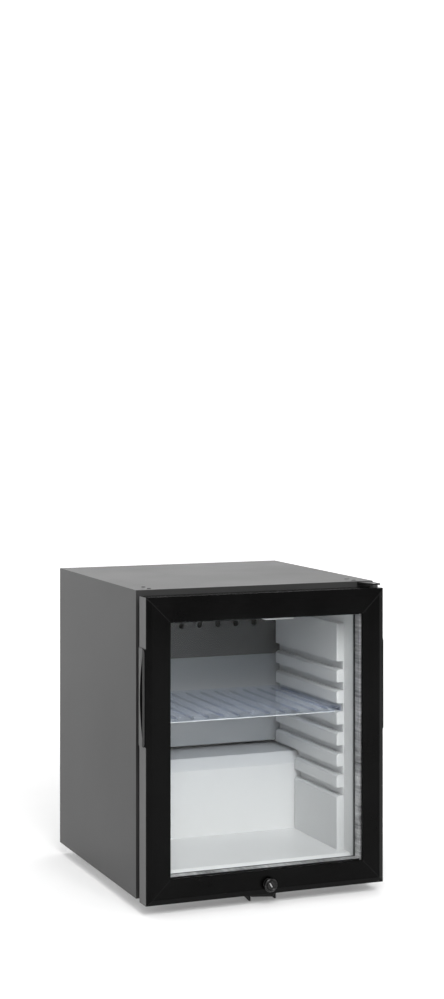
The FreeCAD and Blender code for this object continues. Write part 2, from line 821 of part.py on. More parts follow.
def evaporator_cover():
    """Panel in front of the evaporator, with side flanges and a row of air holes."""
    inside = "cover_half - cover_sheet"
    back = "liner_depth - liner_round"
    section = [("-cover_half", "cover_front"), ("cover_half", "cover_front"), ("cover_half", back),
               (inside, back), (inside, "cover_front + cover_sheet"),
               (f"-({inside})", "cover_front + cover_sheet"), (f"-({inside})", back), ("-cover_half", back)]
    body = prism("cover_body", "z", section, "cover_bottom", "ceiling - liner_round")
    holes = [cylinder("cover_hole", "y", (spread(i, "cover_hole_count", "cover_hole_pitch"),
                                          "cover_front - cover_sheet", "cover_hole_height"),
                      "cover_hole_radius", "3 * cover_sheet")
             for i in range(int(value("cover_hole_count")))]
    node(cut("evaporator_cover", body, holes), "evaporator_cover")


def evaporator_plate():
    """Cold plate on the liner's back wall with raised channels."""
    edge = "liner_half - evaporator_margin"
    face = "liner_depth - evaporator_sheet"
    low = "cover_bottom + evaporator_margin"
    high = "ceiling - evaporator_margin"
    sheet_metal = box("evaporator_sheet_metal", (f"-({edge})", edge), (face, "liner_depth"), (low, high))
    middle = f"({low} + {high}) / 2"
    channels = [cylinder("channel", "x", (f"channel_radius - ({edge})", face,
                                          f"{middle} + {spread(i, 'channel_count', 'channel_pitch')}"),
                         "channel_radius", f"2 * ({edge} - channel_radius)")
                for i in range(int(value("channel_count")))]
    behind = box("evaporator_behind", (f"-({edge})", edge),
                 ("liner_depth", "liner_depth + 2 * channel_radius"), (low, high))
    solid = fuse("evaporator_solid", [sheet_metal, *channels])
    node(cut("evaporator_plate", solid, [behind]), "evaporator_plate")


def controls():
    """Lamp housing with its lens and the thermostat dial."""
    back = "control_front + control_depth"
    right = "control_left + control_width"
    profile = [("control_front", "ceiling"), ("control_front", "control_bottom + control_bevel"),
               ("control_front + control_bevel", "control_bottom"), (back, "control_bottom"),
               (back, "ceiling")]
    body = prism("control_body", "x", profile, "control_left", right)
    bore_front = "control_front - dial_shaft_radius"
    bore = cylinder("control_bore", "y", ("control_middle", bore_front, "dial_height"),
                    "dial_shaft_radius + running_fit", "dial_shaft_length + 2 * dial_shaft_radius")
    node(cut("control_housing", body, [bore]), "control_housing")
    window = rectangle("control_left + lens_margin", f"{right} - lens_margin",
                       "control_front + control_bevel + lens_margin", f"{back} - lens_margin")
    lens = prism("lamp_lens", "z", window, "control_bottom - lens_thick", "control_bottom")
    round_edges(lens, "lens_corner", "lens_margin", upright)
    node(lens, "lamp_lens")
    face = "control_front - running_gap - dial_thick"
    end = "dial_thick + dial_shaft_length"
    section = [("0", "0"), ("dial_radius - dial_bevel", "0"), ("dial_radius", "dial_bevel"),
               ("dial_radius", "dial_thick"), ("dial_shaft_radius", "dial_thick"),
               ("dial_shaft_radius", end), ("0", end)]
    knob = turned("dial_knob", "y", section, ("control_middle", face, "dial_height"))
    rib = box("dial_rib", around("control_middle", "dial_grip_width"), (f"{face} - dial_grip_depth", face),
              around("dial_height", "2 * (dial_radius - dial_bevel)"))
    node(fuse("thermostat_dial", [knob, rib]), "thermostat_dial")


def upright(edge):
    """Whether an edge is vertical."""
    extent = edge.BoundBox
    return extent.ZLength > TOUCH > max(extent.XLength, extent.YLength)


def hinge_plate(name, solids, low):
    """Hinge plate joined from its solids, with holes for its pin and screws."""
    under = f"{low} - hinge_plate"
    holes = [cylinder(f"{name}_pin_hole", "z", (*PIVOT, under), "pin_radius", "3 * hinge_plate")]
    holes += [cylinder(f"{name}_screw_hole", "z", (x, y, under), "screw_radius", "3 * hinge_plate")
              for x, y in hinge_screw_places(1)]
    node(cut(name, fuse(f"{name}_solid", solids), holes), name)


def hinges():
    """Hinge plates, pins, bushes, screws and the plugs of the unused holes."""
    left = "hinge_right - hinge_width"
    tip_left = "pivot_x - hinge_tip_radius"
    tip_right = "pivot_x + hinge_tip_radius"
    tip_front = "pivot_y - hinge_tip_radius"
    low = "hinge_top - hinge_plate"
    outside = [(left, "hinge_reach"), (left, "hinge_step"), ("tongue_left", "hinge_step"),
               ("tongue_left", "0"), (tip_left, "pivot_y"), ("pivot_x", tip_front),
               ("hinge_right", tip_front), ("hinge_right", "hinge_reach")]
    plate = prism("upper_hinge_outline", "z", outside, low, "hinge_top")
    tip = cylinder("upper_hinge_tip", "z", (*PIVOT, low), "hinge_tip_radius", "hinge_plate")
    apron = box("hinge_apron", ("tongue_left", "hinge_right"), ("sheet", "sheet + liner_wall"),
                ("return_low", "hinge_top"))
    hinge_plate("upper_hinge_plate", [plate, tip, apron], low)
    outside = [(left, "hinge_reach"), (left, "hinge_step"), (tip_left, "hinge_step"), (tip_left, "pivot_y"),
               (tip_right, "pivot_y"), (tip_right, "hinge_reach")]
    plate = prism("lower_hinge_outline", "z", outside, "-hinge_plate", "0")
    tip = cylinder("lower_hinge_tip", "z", (*PIVOT, "-hinge_plate"), "hinge_tip_radius", "hinge_plate")
    hinge_plate("lower_hinge_plate", [plate, tip], "-hinge_plate")
    low = "door_top - bush_length + pin_end_gap"
    node(cylinder("upper_hinge_pin", "z", (*PIVOT, low), "pin_radius", f"hinge_top - ({low})"),
         "upper_hinge_pin")
    high = "notch_top + bush_length - pin_end_gap"
    node(cylinder("lower_hinge_pin", "z", (*PIVOT, "-hinge_plate"), "pin_radius", f"{high} + hinge_plate"),
         "lower_hinge_pin")
    bore = "pin_radius + running_fit"
    rise = "hinge_top - hinge_plate - running_gap - door_top"
    upper = [(bore, "-bush_length"), ("bush_radius", "-bush_length"), ("bush_radius", "0"),
             ("bush_flange_radius", "0"), ("bush_flange_radius", rise), (bore, rise)]
    node(turned("upper_hinge_bush", "z", upper, (*PIVOT, "door_top")), "upper_hinge_bush")
    fall = "running_gap - notch_top"
    lower = [(bore, fall), ("bush_flange_radius", fall), ("bush_flange_radius", "0"),
             ("bush_radius", "0"), ("bush_radius", "bush_length"), (bore, "bush_length")]
    node(turned("lower_hinge_bush", "z", lower, (*PIVOT, "notch_top")), "lower_hinge_bush")
    screws = [screw("top_screw", "z", (x, y, "cabinet_height"), 1) for x, y in hinge_screw_places(1)]
    screws += [screw("low_screw", "z", (x, y, "-hinge_plate"), -1) for x, y in hinge_screw_places(1)]
    node(group("hinge_screws", screws), "hinge_screws")
    plugs = [turned("plug", "z", [("0", "-sheet"), ("screw_radius", "-sheet"), ("screw_radius", "0"),
                                  ("plug_radius", "0"), ("plug_radius - plug_rise", "plug_rise"),
                                  ("0", "plug_rise")], (x, y, "cabinet_height"))
             for x, y in hinge_screw_places(-1)]
    node(group("hinge_hole_plugs", plugs), "hinge_hole_plugs")


def lock_keeper():
    """Bent keeper under the door with a slot for the cam and two ears."""
    edge = "keeper_width / 2"
    bend = "keeper_web + keeper_sheet"
    profile = [("keeper_back", "0"), ("keeper_web", "0"), ("keeper_web", "keeper_plate_top"),
               ("-keeper_reach", "keeper_plate_top"), ("-keeper_reach", "-keeper_drop"),
               (bend, "-keeper_drop"), (bend, "-keeper_sheet"), ("keeper_back", "-keeper_sheet")]
    bent = prism("keeper_bent", "x", profile, f"-({edge})", edge)
    lip_end = f"{edge} - keeper_lip_end"
    fall = [(f"-({edge})", "keeper_plate_top"), (f"-({edge})", "-keeper_drop"),
            (lip_end, "-(keeper_drop + keeper_lip)"), (lip_end, "keeper_plate_top")]
    lip = prism("keeper_fall", "y", fall, "-keeper_reach", "keeper_sheet - keeper_reach")
    corner = [(edge, "-keeper_reach"), (edge, "keeper_corner_depth - keeper_reach"),
              (f"{edge} - keeper_corner_side", "-keeper_reach")]
    corner_cut = prism("keeper_corner", "z", corner, "-2 * keeper_drop", "0")
    low = "-(keeper_drop + keeper_ear_depth)"
    ear = [(bend, "keeper_plate_top"), ("-keeper_ear_front", "keeper_plate_top"), ("-keeper_ear_front", low),
           ("keeper_ear_tip - keeper_ear_front", low), (bend, f"{low} + keeper_ear_slope")]
    ears = [prism("keeper_ear", "x", ear, *side_span(side, f"{edge} - keeper_sheet", edge))
            for side in (-1, 1)]
    cam_drop = "lock_height - keeper_plate_top"
    slot = box("keeper_slot", ("-(cam_half_width + keeper_slot_gap)",
                               f"sqrt(cam_length ^ 2 - ({cam_drop}) ^ 2) + keeper_slot_gap"),
               ("cam_front - keeper_slot_gap", "cam_back + keeper_slot_gap"), ("-2 * keeper_drop", "0"))
    holes = [cylinder("keeper_hole", "z", (x, y, "-2 * keeper_sheet"), "screw_radius", "3 * keeper_sheet")
             for x, y in KEEPER_SCREWS]
    solid = fuse("keeper_solid", [bent, lip, *ears])
    node(cut("lock_keeper", solid, [slot, corner_cut, *holes]), "lock_keeper")
    screws = [screw("keeper_screw", "z", (x, y, "-keeper_sheet"), -1) for x, y in KEEPER_SCREWS]
    node(group("keeper_screws", screws), "keeper_screws")


def feet():
    """Four turned feet with spigots in the base pan."""
    profile = [("0", "-foot_height"), ("foot_radius - foot_flare", "-foot_height"),
               ("foot_radius", "foot_flare - foot_height"), ("foot_radius + foot_flare", "0"),
               ("foot_spigot_radius", "0"), ("foot_spigot_radius", "foot_spigot_length"),
               ("0", "foot_spigot_length")]
    for name, (x, y) in FEET.items():
        node(turned(f"foot_{name}", "z", profile, (x, y, "0")), f"foot_{name}")


def compressor():
    """Compressor shell on its base plate and grommets, with its terminal cover and drip tray."""
    seam_low = "seam_height - seam_thick / 2"
    seam_high = "seam_height + seam_thick / 2"
    rim = "compressor_radius + seam_width"
    profile = [("0", "0"), ("compressor_radius", "0"), ("compressor_radius", seam_low), (rim, seam_low),
               (rim, seam_high), ("compressor_radius", seam_high), ("compressor_radius", "compressor_height"),
               ("0", "compressor_height")]
    shell = turned("compressor_shell", "z", profile, (*COMPRESSOR, "compressor_foot"))
    tall = value("compressor_height")

    def end_edge(edge):
        level = edge.CenterOfMass.z
        at_end = min(abs(level), abs(level - tall)) < TOUCH
        return at_end and edge.BoundBox.ZLength < TOUCH and edge.Length > tall

    round_edges(shell, "compressor_end", "compressor_round", end_edge)
    node(shell, "compressor_shell")
    low = "sheet + grommet_height"
    sides = rectangle(*around("compressor_x", "base_plate_width"),
                      *around("compressor_y", "base_plate_depth"))
    base = prism("base_body", "z", sides, low, "compressor_foot")
    round_edges(base, "base_corner", "grommet_inset", upright)
    holes = [cylinder("base_hole", "z", (x, y, "sheet"), "grommet_waist", "2 * grommet_height")
             for x, y in GROMMETS]
    node(cut("compressor_base", base, holes), "compressor_base")
    top = "grommet_height + base_plate_thick"
    spool = [("0", "0"), ("grommet_radius", "0"), ("grommet_radius", "grommet_height"),
             ("grommet_waist", "grommet_height"), ("grommet_waist", top), ("grommet_radius", top),
             ("grommet_waist", f"{top} + grommet_cap"), ("0", f"{top} + grommet_cap")]
    node(group("compressor_grommets", [turned("grommet", "z", spool, (x, y, "sheet")) for x, y in GROMMETS]),
         "compressor_grommets")
    side = "compressor_x + compressor_radius"
    bottom = "compressor_foot + terminal_bottom"
    cover = box("terminal_block", ("compressor_x", f"{side} + terminal_width"),
                around("compressor_y", "terminal_depth"), (bottom, f"{bottom} + terminal_height"))
    room = cylinder("terminal_room", "z", (*COMPRESSOR, "0"), "compressor_radius", "compressor_height")
    node(cut("terminal_cover", cover, [room]), "terminal_cover")
    rim_top = "compressor_top + tray_height"
    outside = box("tray_outside", around("compressor_x", "tray_size"), around("compressor_y", "tray_size"),
                  ("compressor_top", rim_top))
    clear = "(tray_size - 2 * tray_wall)"
    inside = box("tray_inside", around("compressor_x", clear), around("compressor_y", clear),
                 ("compressor_top + tray_wall", f"{rim_top} + tray_wall"))
    node(cut("drip_tray", outside, [inside]), "drip_tray")
    drain_low = "compressor_top + tray_height / 2"
    drain_length = f"hump_height - liner_wall - ({drain_low})"
    pipe = cylinder("drain_outside", "z", (*COMPRESSOR, drain_low), "drain_radius + drain_wall", drain_length)
    hollow = cylinder("drain_inside", "z", (*COMPRESSOR, "compressor_top"), "drain_radius", "hump_height")
    node(cut("drain_tube", pipe, [hollow]), "drain_tube")


def spot(x, y, z):
    """Point for a tube's path."""
    return FreeCAD.Vector(x, y, z)


def refrigerant_tubes():
    """Condenser with its wires and brackets, filter drier and the three tubes."""
    radius = value("tube_radius")
    bend = value("tube_bend")
    middle_x = value("compressor_x")
    middle_y = value("compressor_y")
    shell_radius = value("compressor_radius")
    foot = value("compressor_foot")
    coil_y = value("coil_y")
    low = value("coil_bottom")
    edge = value("coil_half_width")
    entry = value("coil_entry")
    leave = value("coil_exit")
    wall = value("step_front") + value("sheet")
    joint = spot(entry + 2 * bend, coil_y, low)
    height = foot + value("discharge_height")
    route = [spot(middle_x - shell_radius, middle_y, height), spot(entry, middle_y, height),
             spot(entry, coil_y, height), spot(entry, coil_y, low), joint]
    node(tube("discharge_tube", route, radius, bend), "discharge_tube")
    height = foot + value("suction_height")
    turn_x = middle_x + shell_radius + 2 * bend
    route = [spot(middle_x + shell_radius, middle_y, height), spot(turn_x, middle_y, height),
             spot(turn_x, wall, height)]
    node(tube("suction_tube", route, radius, bend), "suction_tube")
    drier_low = value("drier_top") - value("drier_length")
    height = drier_low - value("capillary_drop")
    route = [spot(leave, coil_y, drier_low), spot(leave, coil_y, height), spot(leave, wall, height)]
    node(tube("capillary_tube", route, value("capillary_radius"), bend), "capillary_tube")
    route = [joint]
    runs = int(value("coil_runs"))
    for i in range(runs):
        level = low + i * value("coil_pitch")
        start, end = (-edge, edge) if i % 2 == 0 else (edge, -edge)
        if i > 0:
            route.append(spot(start, coil_y, level))
        if i < runs - 1:
            route.append(spot(end, coil_y, level))
    route += [spot(leave, coil_y, level), spot(leave, coil_y, value("drier_top"))]
    coil = tube("coil", route, radius, value("coil_bend"))
    offset = "(tube_radius + wire_radius + running_fit)"
    wires = [cylinder("wire", "z", (spread(i, "wire_count", "2 * (coil_half_width - coil_bend) / wire_count"),
                                    f"coil_y + {side} * {offset}", "coil_bottom - wire_overhang"),
                      "wire_radius", "coil_top - coil_bottom + 2 * wire_overhang")
             for i in range(int(value("wire_count"))) for side in (-1, 1)]
    node(group("condenser", [coil, *wires]), "condenser")
    brackets = [box("bracket", around(f"{side} * (coil_half_width - bracket_inset)", "bracket_width"),
                    ("rear_plane", "coil_y - tube_radius - 2 * (wire_radius + running_fit)"),
                    around(level, "bracket_height"))
                for side in (-1, 1)
                for level in ("coil_bottom + coil_pitch / 2", "coil_top - coil_pitch / 2")]
    node(group("condenser_brackets", brackets), "condenser_brackets")
    shoulder = "drier_length - drier_taper"
    profile = [("0", "0"), ("tube_radius", "0"), ("drier_radius", "drier_taper"), ("drier_radius", shoulder),
               ("tube_radius", "drier_length"), ("0", "drier_length")]
    foot = ("coil_exit", "coil_y", "drier_top - drier_length")
    node(turned("filter_drier", "z", profile, foot), "filter_drier")


def rear_grille():
    """Louvred plate over the machine compartment, with its screws and the mains inlet."""
    edge = "inner_half - sheet"
    plate = box("grille_plate", (f"-({edge})", edge), ("grille_front", "cabinet_depth - sheet"),
                ("sheet", "compartment_top"))
    through = ("grille_front - sheet", "cabinet_depth")
    slots = []
    for i in range(int(value("louvre_count"))):
        across = around(f"louvre_middle + {spread(i, 'louvre_count', 'louvre_pitch')}", "louvre_width")
        for row in (0, 1):
            low = f"louvre_bottom + {row} * louvre_row_pitch"
            slots.append(box("louvre", across, through, (low, f"{low} + louvre_length")))
    holes = [cylinder("grille_hole", "y", (x, "grille_front - sheet", z), "screw_radius", "4 * grille_sheet")
             for x, z in GRILLE_SCREWS]
    window = box("inlet_window", around("inlet_x", "inlet_width"), through,
                 around("inlet_height", "inlet_tall"))
    node(cut("rear_grille", plate, [*slots, *holes, window]), "rear_grille")
    screws = [screw("grille_screw", "y", (x, "cabinet_depth", z), 1) for x, z in GRILLE_SCREWS]
    node(group("grille_screws", screws), "grille_screws")
    back = "cabinet_depth - sheet"
    flange = box("inlet_rim", around("inlet_x", "(inlet_width + 2 * inlet_flange)"), (back, "cabinet_depth"),
                 around("inlet_height", "(inlet_tall + 2 * inlet_flange)"))
    block = box("inlet_block", around("inlet_x", "inlet_width"), (f"{back} - inlet_depth", back),
                around("inlet_height", "inlet_tall"))
    recess_floor = "cabinet_depth - inlet_recess"
    recess = box("inlet_room", around("inlet_x", "(inlet_width - 2 * inlet_wall)"),
                 (recess_floor, "cabinet_depth + inlet_wall"),
                 around("inlet_height", "(inlet_tall - 2 * inlet_wall)"))
    blades = [box("inlet_blade", around(f"inlet_x + {i} * inlet_blade_pitch", "inlet_blade_width"),
                  (f"{recess_floor} - inlet_wall", "cabinet_depth - inlet_wall"),
                  around(f"inlet_height + {rise}", "inlet_blade_height"))
              for i, rise in ((-1, "0"), (0, "inlet_blade_rise"), (1, "0"))]
    hollow = cut("inlet_hollow", fuse("inlet_solid", [flange, block]), [recess])
    node(fuse("mains_inlet", [hollow, *blades]), "mains_inlet")


def rail(name, axis, corner, inward, mitre, low, high):
    """One door profile, mitred at both ends.

    The section runs inward from the door's edge at corner and forward from the door's back.
    """
    side = "door_thick - bevel_drop"
    behind_lip = "door_thick - lip_thick"
    section = [("0", "0"), ("0", side), ("bevel_width", "door_thick"), ("frame_face", "door_thick"),
               ("frame_face", behind_lip), ("frame_core", behind_lip), ("frame_core", "0")]
    turned_section = []
    for across, out in section:
        place = f"{corner} + {inward} * ({across})"
        depth = f"door_back - ({out})"
        turned_section.append((depth, place) if axis == "x" else (place, depth))
    body = prism(f"{name}_profile", axis, turned_section, low, high)
    face = value("frame_face")
    thick = value("door_front")
    start = value(corner.strip("-")) * (-1 if corner.startswith("-") else 1)

    def lip(edge):
        middle = edge.CenterOfMass
        place = middle.z if axis == "x" else middle.x
        return abs(place - start - inward * face) < TOUCH and abs(middle.y - thick) < TOUCH

    round_edges(body, f"{name}_lip", "lip_round", lip)
    wedge = prism(f"{name}_mitre", "y", mitre, "door_front - lip_thick", "door_back + lip_thick")
    return common(f"{name}_mitred", body, wedge)


def grip_tools(side, name):
    """Solids of one finger grip: its cup and the lens-shaped pocket in it."""
    ends = around("grip_middle", "(grip_pocket_length + 2 * grip_wall)")
    cup = box(f"{name}_cup", side_span(side, "door_half - grip_cup_depth", "door_half"),
              ("pocket_front - grip_wall", "pocket_front + grip_pocket_width + grip_wall"), ends)
    inner = "door_half - grip_cup_depth + grip_wall"
    outer = "grip_face + grip_wall"
    room = box(f"{name}_room", side_span(side, inner, outer),
               ("pocket_front", "pocket_front + grip_pocket_width"),
               around("grip_middle", "grip_pocket_length"))
    drum = cylinder(f"{name}_drum", "x", (side_span(side, inner, outer)[0],
                                          "pocket_front + grip_pocket_width - pocket_radius", "grip_middle"),
                    "pocket_radius", f"{outer} - ({inner})")
    return cup, common(f"{name}_pocket", room, drum)


def finger_grip(side, name):
    """Insert in a door side with a proud flange and a lens-shaped pocket."""
    cup, pocket = grip_tools(side, name)
    ahead = "side_front + grip_margin"
    behind = "door_back - grip_margin"
    plate = [(ahead, "grip_bottom + grip_bevel"), (ahead, "grip_top - grip_bevel"),
             (f"{ahead} + grip_bevel", "grip_top"), (behind, "grip_top"), (behind, "grip_bottom"),
             (f"{ahead} + grip_bevel", "grip_bottom")]
    flange = prism(f"{name}_flange", "x", plate, *side_span(side, "door_half", "grip_face"))
    node(cut(name, fuse(f"{name}_solid", [flange, cup]), [pocket]), name)


def door_frame():
    """Four mitred profiles with room for the hinges, the grips and the lock."""
    left = [("-door_half", "door_bottom"), ("frame_face - door_half", "door_bottom + frame_face"),
            ("frame_face - door_half", "door_top - frame_face"), ("-door_half", "door_top")]
    right = [(f"-({x})", z) for x, z in left]
    top = [("-door_half", "door_top"), ("frame_face - door_half", "door_top - frame_face"),
           ("door_half - frame_face", "door_top - frame_face"), ("door_half", "door_top")]
    bottom = [("-door_half", "door_bottom"), ("frame_face - door_half", "door_bottom + frame_face"),
              ("door_half - frame_face", "door_bottom + frame_face"), ("door_half", "door_bottom")]
    top_rail = rail("door_rail_top", "x", "door_top", -1, top, "-door_half", "door_half")
    bottom_rail = rail("door_rail_bottom", "x", "door_bottom", 1, bottom, "-door_half", "door_half")
    left_stile = rail("door_stile_left", "z", "-door_half", 1, left, "door_bottom", "door_top")
    right_stile = rail("door_stile_right", "z", "door_half", -1, right, "door_bottom", "door_top")
    upper_hole = cylinder("upper_bush_hole", "z", (*PIVOT, "door_top - bush_length"), "bush_radius",
                          "2 * bush_length")
    lower_hole = cylinder("lower_bush_hole", "z", (*PIVOT, "notch_top - bush_length"), "bush_radius",
                          "2 * bush_length")
    reach = "hinge_tip_radius + hinge_notch_gap"
    notch = box("hinge_notch", (f"pivot_x - ({reach})", "door_half + hinge_notch_gap"),
                (f"pivot_y - ({reach})", "door_back + hinge_notch_gap"),
                ("door_bottom - hinge_notch_gap", "notch_top"))
    cam_room = box("cam_room", ("-(lock_pocket_half)", "cam_length + cam_pocket_side"),
                   ("cam_pocket_front", "cam_pocket_back"),
                   ("door_bottom - cam_pocket_side", "lock_height + lock_pocket_rise"))
    head_room = cylinder("lock_head_room", "y", ("0", "lock_face", "lock_height"), "lock_head_radius",
                         "lock_seat - lock_face")
    barrel_room = cylinder("lock_barrel_room", "y", ("0", "lock_face", "lock_height"), "lock_barrel_radius",
                           "cam_pocket_front + cam_pocket_side - lock_face")
    node(cut("door_rail_top", top_rail, [upper_hole]), "door_rail_top")
    node(cut("door_rail_bottom", bottom_rail, [lower_hole, notch, cam_room, head_room, barrel_room]),
         "door_rail_bottom")
    node(cut("door_stile_left", left_stile, [grip_tools(-1, "left_cut")[0]]), "door_stile_left")
    node(cut("door_stile_right", right_stile, [grip_tools(1, "right_cut")[0], upper_hole, lower_hole, notch]),
         "door_stile_right")


def door_box(name, inset, front_face, back_face):
    """Box inside the door's outline at one inset from its edges."""
    return box(name, (f"{inset} - door_half", f"door_half - ({inset})"), (front_face, back_face),
               (f"door_bottom + {inset}", f"door_top - ({inset})"))


def door_ring(name, outer, inner, front_face, back_face):
    """Rectangular ring between two insets from the door's edges."""
    return cut(name, door_box(f"{name}_outside", outer, front_face, back_face),
               [door_box(f"{name}_inside", inner, f"{front_face} - pane_thick", f"{back_face} + pane_thick")])


def glazing():
    """Double glazing and the frame that holds it from behind."""
    node(door_box("outer_glass", "pane_edge", "outer_pane_front", "spacer_front"), "outer_glass")
    node(door_box("inner_glass", "pane_edge", "inner_pane_front", "back_frame_front"), "inner_glass")
    node(door_ring("glass_spacer", "spacer_inner - spacer_width", "spacer_inner", "spacer_front",
                   "inner_pane_front"), "glass_spacer")
    node(door_ring("door_back_frame", "frame_core + back_frame_gap", "frame_face", "back_frame_front",
                   "door_back"), "door_back_frame")


def door_gasket():
    """Bellows seal swept round the back of the door."""
    body = doc.addObject("PartDesign::Body", "door_gasket")
    inset = "gasket_inset + gasket_width / 2"
    across = f"door_half - ({inset})"
    low = f"door_bottom + {inset}"
    high = f"door_top - ({inset})"
    corners = [("0", low), (across, low), (across, high), (f"-({across})", high), (f"-({across})", low)]
    path = outline(body, "gasket_path", "y", corners, "-door_back")
    broad = "gasket_width / 2"
    slim = "gasket_neck / 2"
    head = "gasket_reach - gasket_head"
    half_section = [(broad, "0"), (broad, "gasket_base"), (slim, "gasket_base + gasket_fold"),
                    (slim, f"{head} - gasket_fold"), (broad, head), (broad, "gasket_reach")]
    section = half_section + [(f"-{side}", out) for side, out in reversed(half_section)]
    profile = outline(body, "gasket_section", "x",
                      [(f"door_back + {out}", f"{low} + {side}") for side, out in section], "0")
    sweep = body.newObject("PartDesign::AdditivePipe", "gasket_sweep")
    sweep.Profile = profile
    sweep.Spine = (path, [f"Edge{i}" for i in range(1, len(corners) + 1)])
    sweep.Transition = "Right corner"
    body.Tip = sweep
    node(body, "door_gasket")


def lock():
    """Cylinder lock in the bottom rail: housing, nut, plug, cam and cam screw."""
    middle = ("0", "lock_face", "lock_height")
    seat = "lock_seat - lock_face"
    end = "cam_front - lock_end_gap - lock_face"
    bore = "lock_plug_radius + running_fit"
    node(turned("lock_housing", "y", [(bore, "0"), ("lock_head_radius - lock_head_bevel", "0"),
                                      ("lock_head_radius", "lock_head_bevel"), ("lock_head_radius", seat),
                                      ("lock_barrel_radius", seat), ("lock_barrel_radius", end), (bore, end)],
                middle), "lock_housing")
    point = "nut_flat / sqrt(3)"
    above = "lock_height + nut_flat / 2"
    below = "lock_height - nut_flat / 2"
    hexagon = [(point, "lock_height"), (f"{point} / 2", above), (f"-{point} / 2", above),
               (f"-{point}", "lock_height"), (f"-{point} / 2", below), (f"{point} / 2", below)]
    blank = prism("nut_blank", "y", hexagon, "cam_pocket_front", "cam_pocket_front + nut_thick")
    thread = cylinder("nut_hole", "y", middle, "lock_barrel_radius", "door_thick")
    node(cut("lock_nut", blank, [thread]), "lock_nut")
    plug_face = "lock_face + lock_plug_recess"
    barrel = cylinder("plug_barrel", "y", ("0", plug_face, "lock_height"), "lock_plug_radius",
                      f"cam_front - ({plug_face})")
    square = box("plug_square", around("0", "cam_square"), ("cam_front - cam_square", "cam_back"),
                 around("lock_height", "cam_square"))
    wide = "keyway_width / 2"
    top = "lock_height + keyway_height / 2"
    foot = "lock_height - keyway_height / 2"
    slanted = [(f"-{wide} - keyway_slant", top), (f"-{wide} + keyway_slant", foot),
               (f"{wide} + keyway_slant", foot), (f"{wide} - keyway_slant", top)]
    keyway = prism("keyway", "y", slanted, "lock_face", "lock_face + keyway_depth")
    tapped = cylinder("plug_tapped", "y", ("0", "cam_back - screw_length", "lock_height"), "cam_screw_radius",
                      "2 * screw_length")
    node(cut("lock_plug", fuse("plug_solid", [barrel, square]), [keyway, tapped]), "lock_plug")
    tip = "cam_length - cam_half_width"
    hub = cylinder("cam_hub", "y", ("0", "cam_front", "lock_height"), "cam_hub_radius", "cam_thick")
    arm = box("cam_arm", ("0", tip), ("cam_front", "cam_back"), around("lock_height", "2 * cam_half_width"))
    nose = cylinder("cam_nose", "y", (tip, "cam_front", "lock_height"), "cam_half_width", "cam_thick")
    hole = box("cam_hole", around("0", "cam_square"), ("cam_front - cam_thick", "cam_back + cam_thick"),
               around("lock_height", "cam_square"))
    node(cut("lock_cam", fuse("cam_solid", [hub, arm, nose]), [hole]), "lock_cam")
    head = cylinder("cam_screw_head", "y", ("0", "cam_back", "lock_height"), "cam_screw_head_radius",
                    "cam_screw_head")
    shank = cylinder("cam_screw_shank", "y", ("0", "cam_back - screw_length", "lock_height"),
                     "cam_screw_radius", "screw_length")
    node(fuse("cam_screw", [head, shank]), "cam_screw")


outer_shell()
base_pan()
rear_panel()
compressor_step()
inner_liner()
foam_insulation()
shelf_runner(-1, "shelf_runner_left")
shelf_runner(1, "shelf_runner_right")
shelf()
evaporator_cover()
evaporator_plate()
controls()
hinges()
lock_keeper()
feet()
compressor()
refrigerant_tubes()
rear_grille()
door_frame()
glazing()
door_gasket()
finger_grip(-1, "handle_grip_left")
finger_grip(1, "handle_grip_right")
lock()
doc.recompute()

for item in doc.Objects:
    if {"Invalid", "Error"} & set(item.State):
        raise RuntimeError(f"{item.Label} did not compute: {item.State}")
for part in nodes:
    if part.Shape.isNull() or not part.Shape.isValid():
        raise RuntimeError(f"{part.Label} has no valid shape")

os.makedirs("parts", exist_ok=True)
for part in nodes:
    part.Shape.exportStep(f"parts/{part.Label}.step")
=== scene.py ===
import math

import bpy
import numpy as np
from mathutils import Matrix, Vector


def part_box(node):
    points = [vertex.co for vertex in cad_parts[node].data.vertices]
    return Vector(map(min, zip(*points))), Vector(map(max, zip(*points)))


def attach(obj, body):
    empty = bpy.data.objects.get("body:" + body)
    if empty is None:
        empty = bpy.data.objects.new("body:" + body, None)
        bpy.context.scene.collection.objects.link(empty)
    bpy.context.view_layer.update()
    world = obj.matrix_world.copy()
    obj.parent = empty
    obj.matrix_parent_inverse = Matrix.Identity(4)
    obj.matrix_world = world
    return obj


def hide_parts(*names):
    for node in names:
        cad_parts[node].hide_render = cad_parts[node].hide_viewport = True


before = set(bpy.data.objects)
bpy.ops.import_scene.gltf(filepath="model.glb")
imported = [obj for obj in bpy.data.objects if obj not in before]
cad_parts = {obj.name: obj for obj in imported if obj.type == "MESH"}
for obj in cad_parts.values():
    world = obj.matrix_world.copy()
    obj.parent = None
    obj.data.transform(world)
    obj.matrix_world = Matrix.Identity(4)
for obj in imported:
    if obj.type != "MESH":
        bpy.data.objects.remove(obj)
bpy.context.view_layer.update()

# All lengths are in metres. The front faces -Y.
# The shut door's frame: its corners, its middle and its half size.
DOOR_LOW, DOOR_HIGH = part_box("door_rail_top")
DOOR_LOW = Vector((DOOR_LOW.x, DOOR_LOW.y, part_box("door_rail_bottom")[0].z))
DOOR_MIDDLE, DOOR_HALF = (DOOR_LOW + DOOR_HIGH) / 2, (DOOR_HIGH - DOOR_LOW) / 2
# Half the width of the door seal's foot, and of the track that it leaves on the liner.
SEAL_HALF = 0.009
# The same along all three axes, or in red, green and blue.
EVEN = (1.0, 1.0, 1.0)


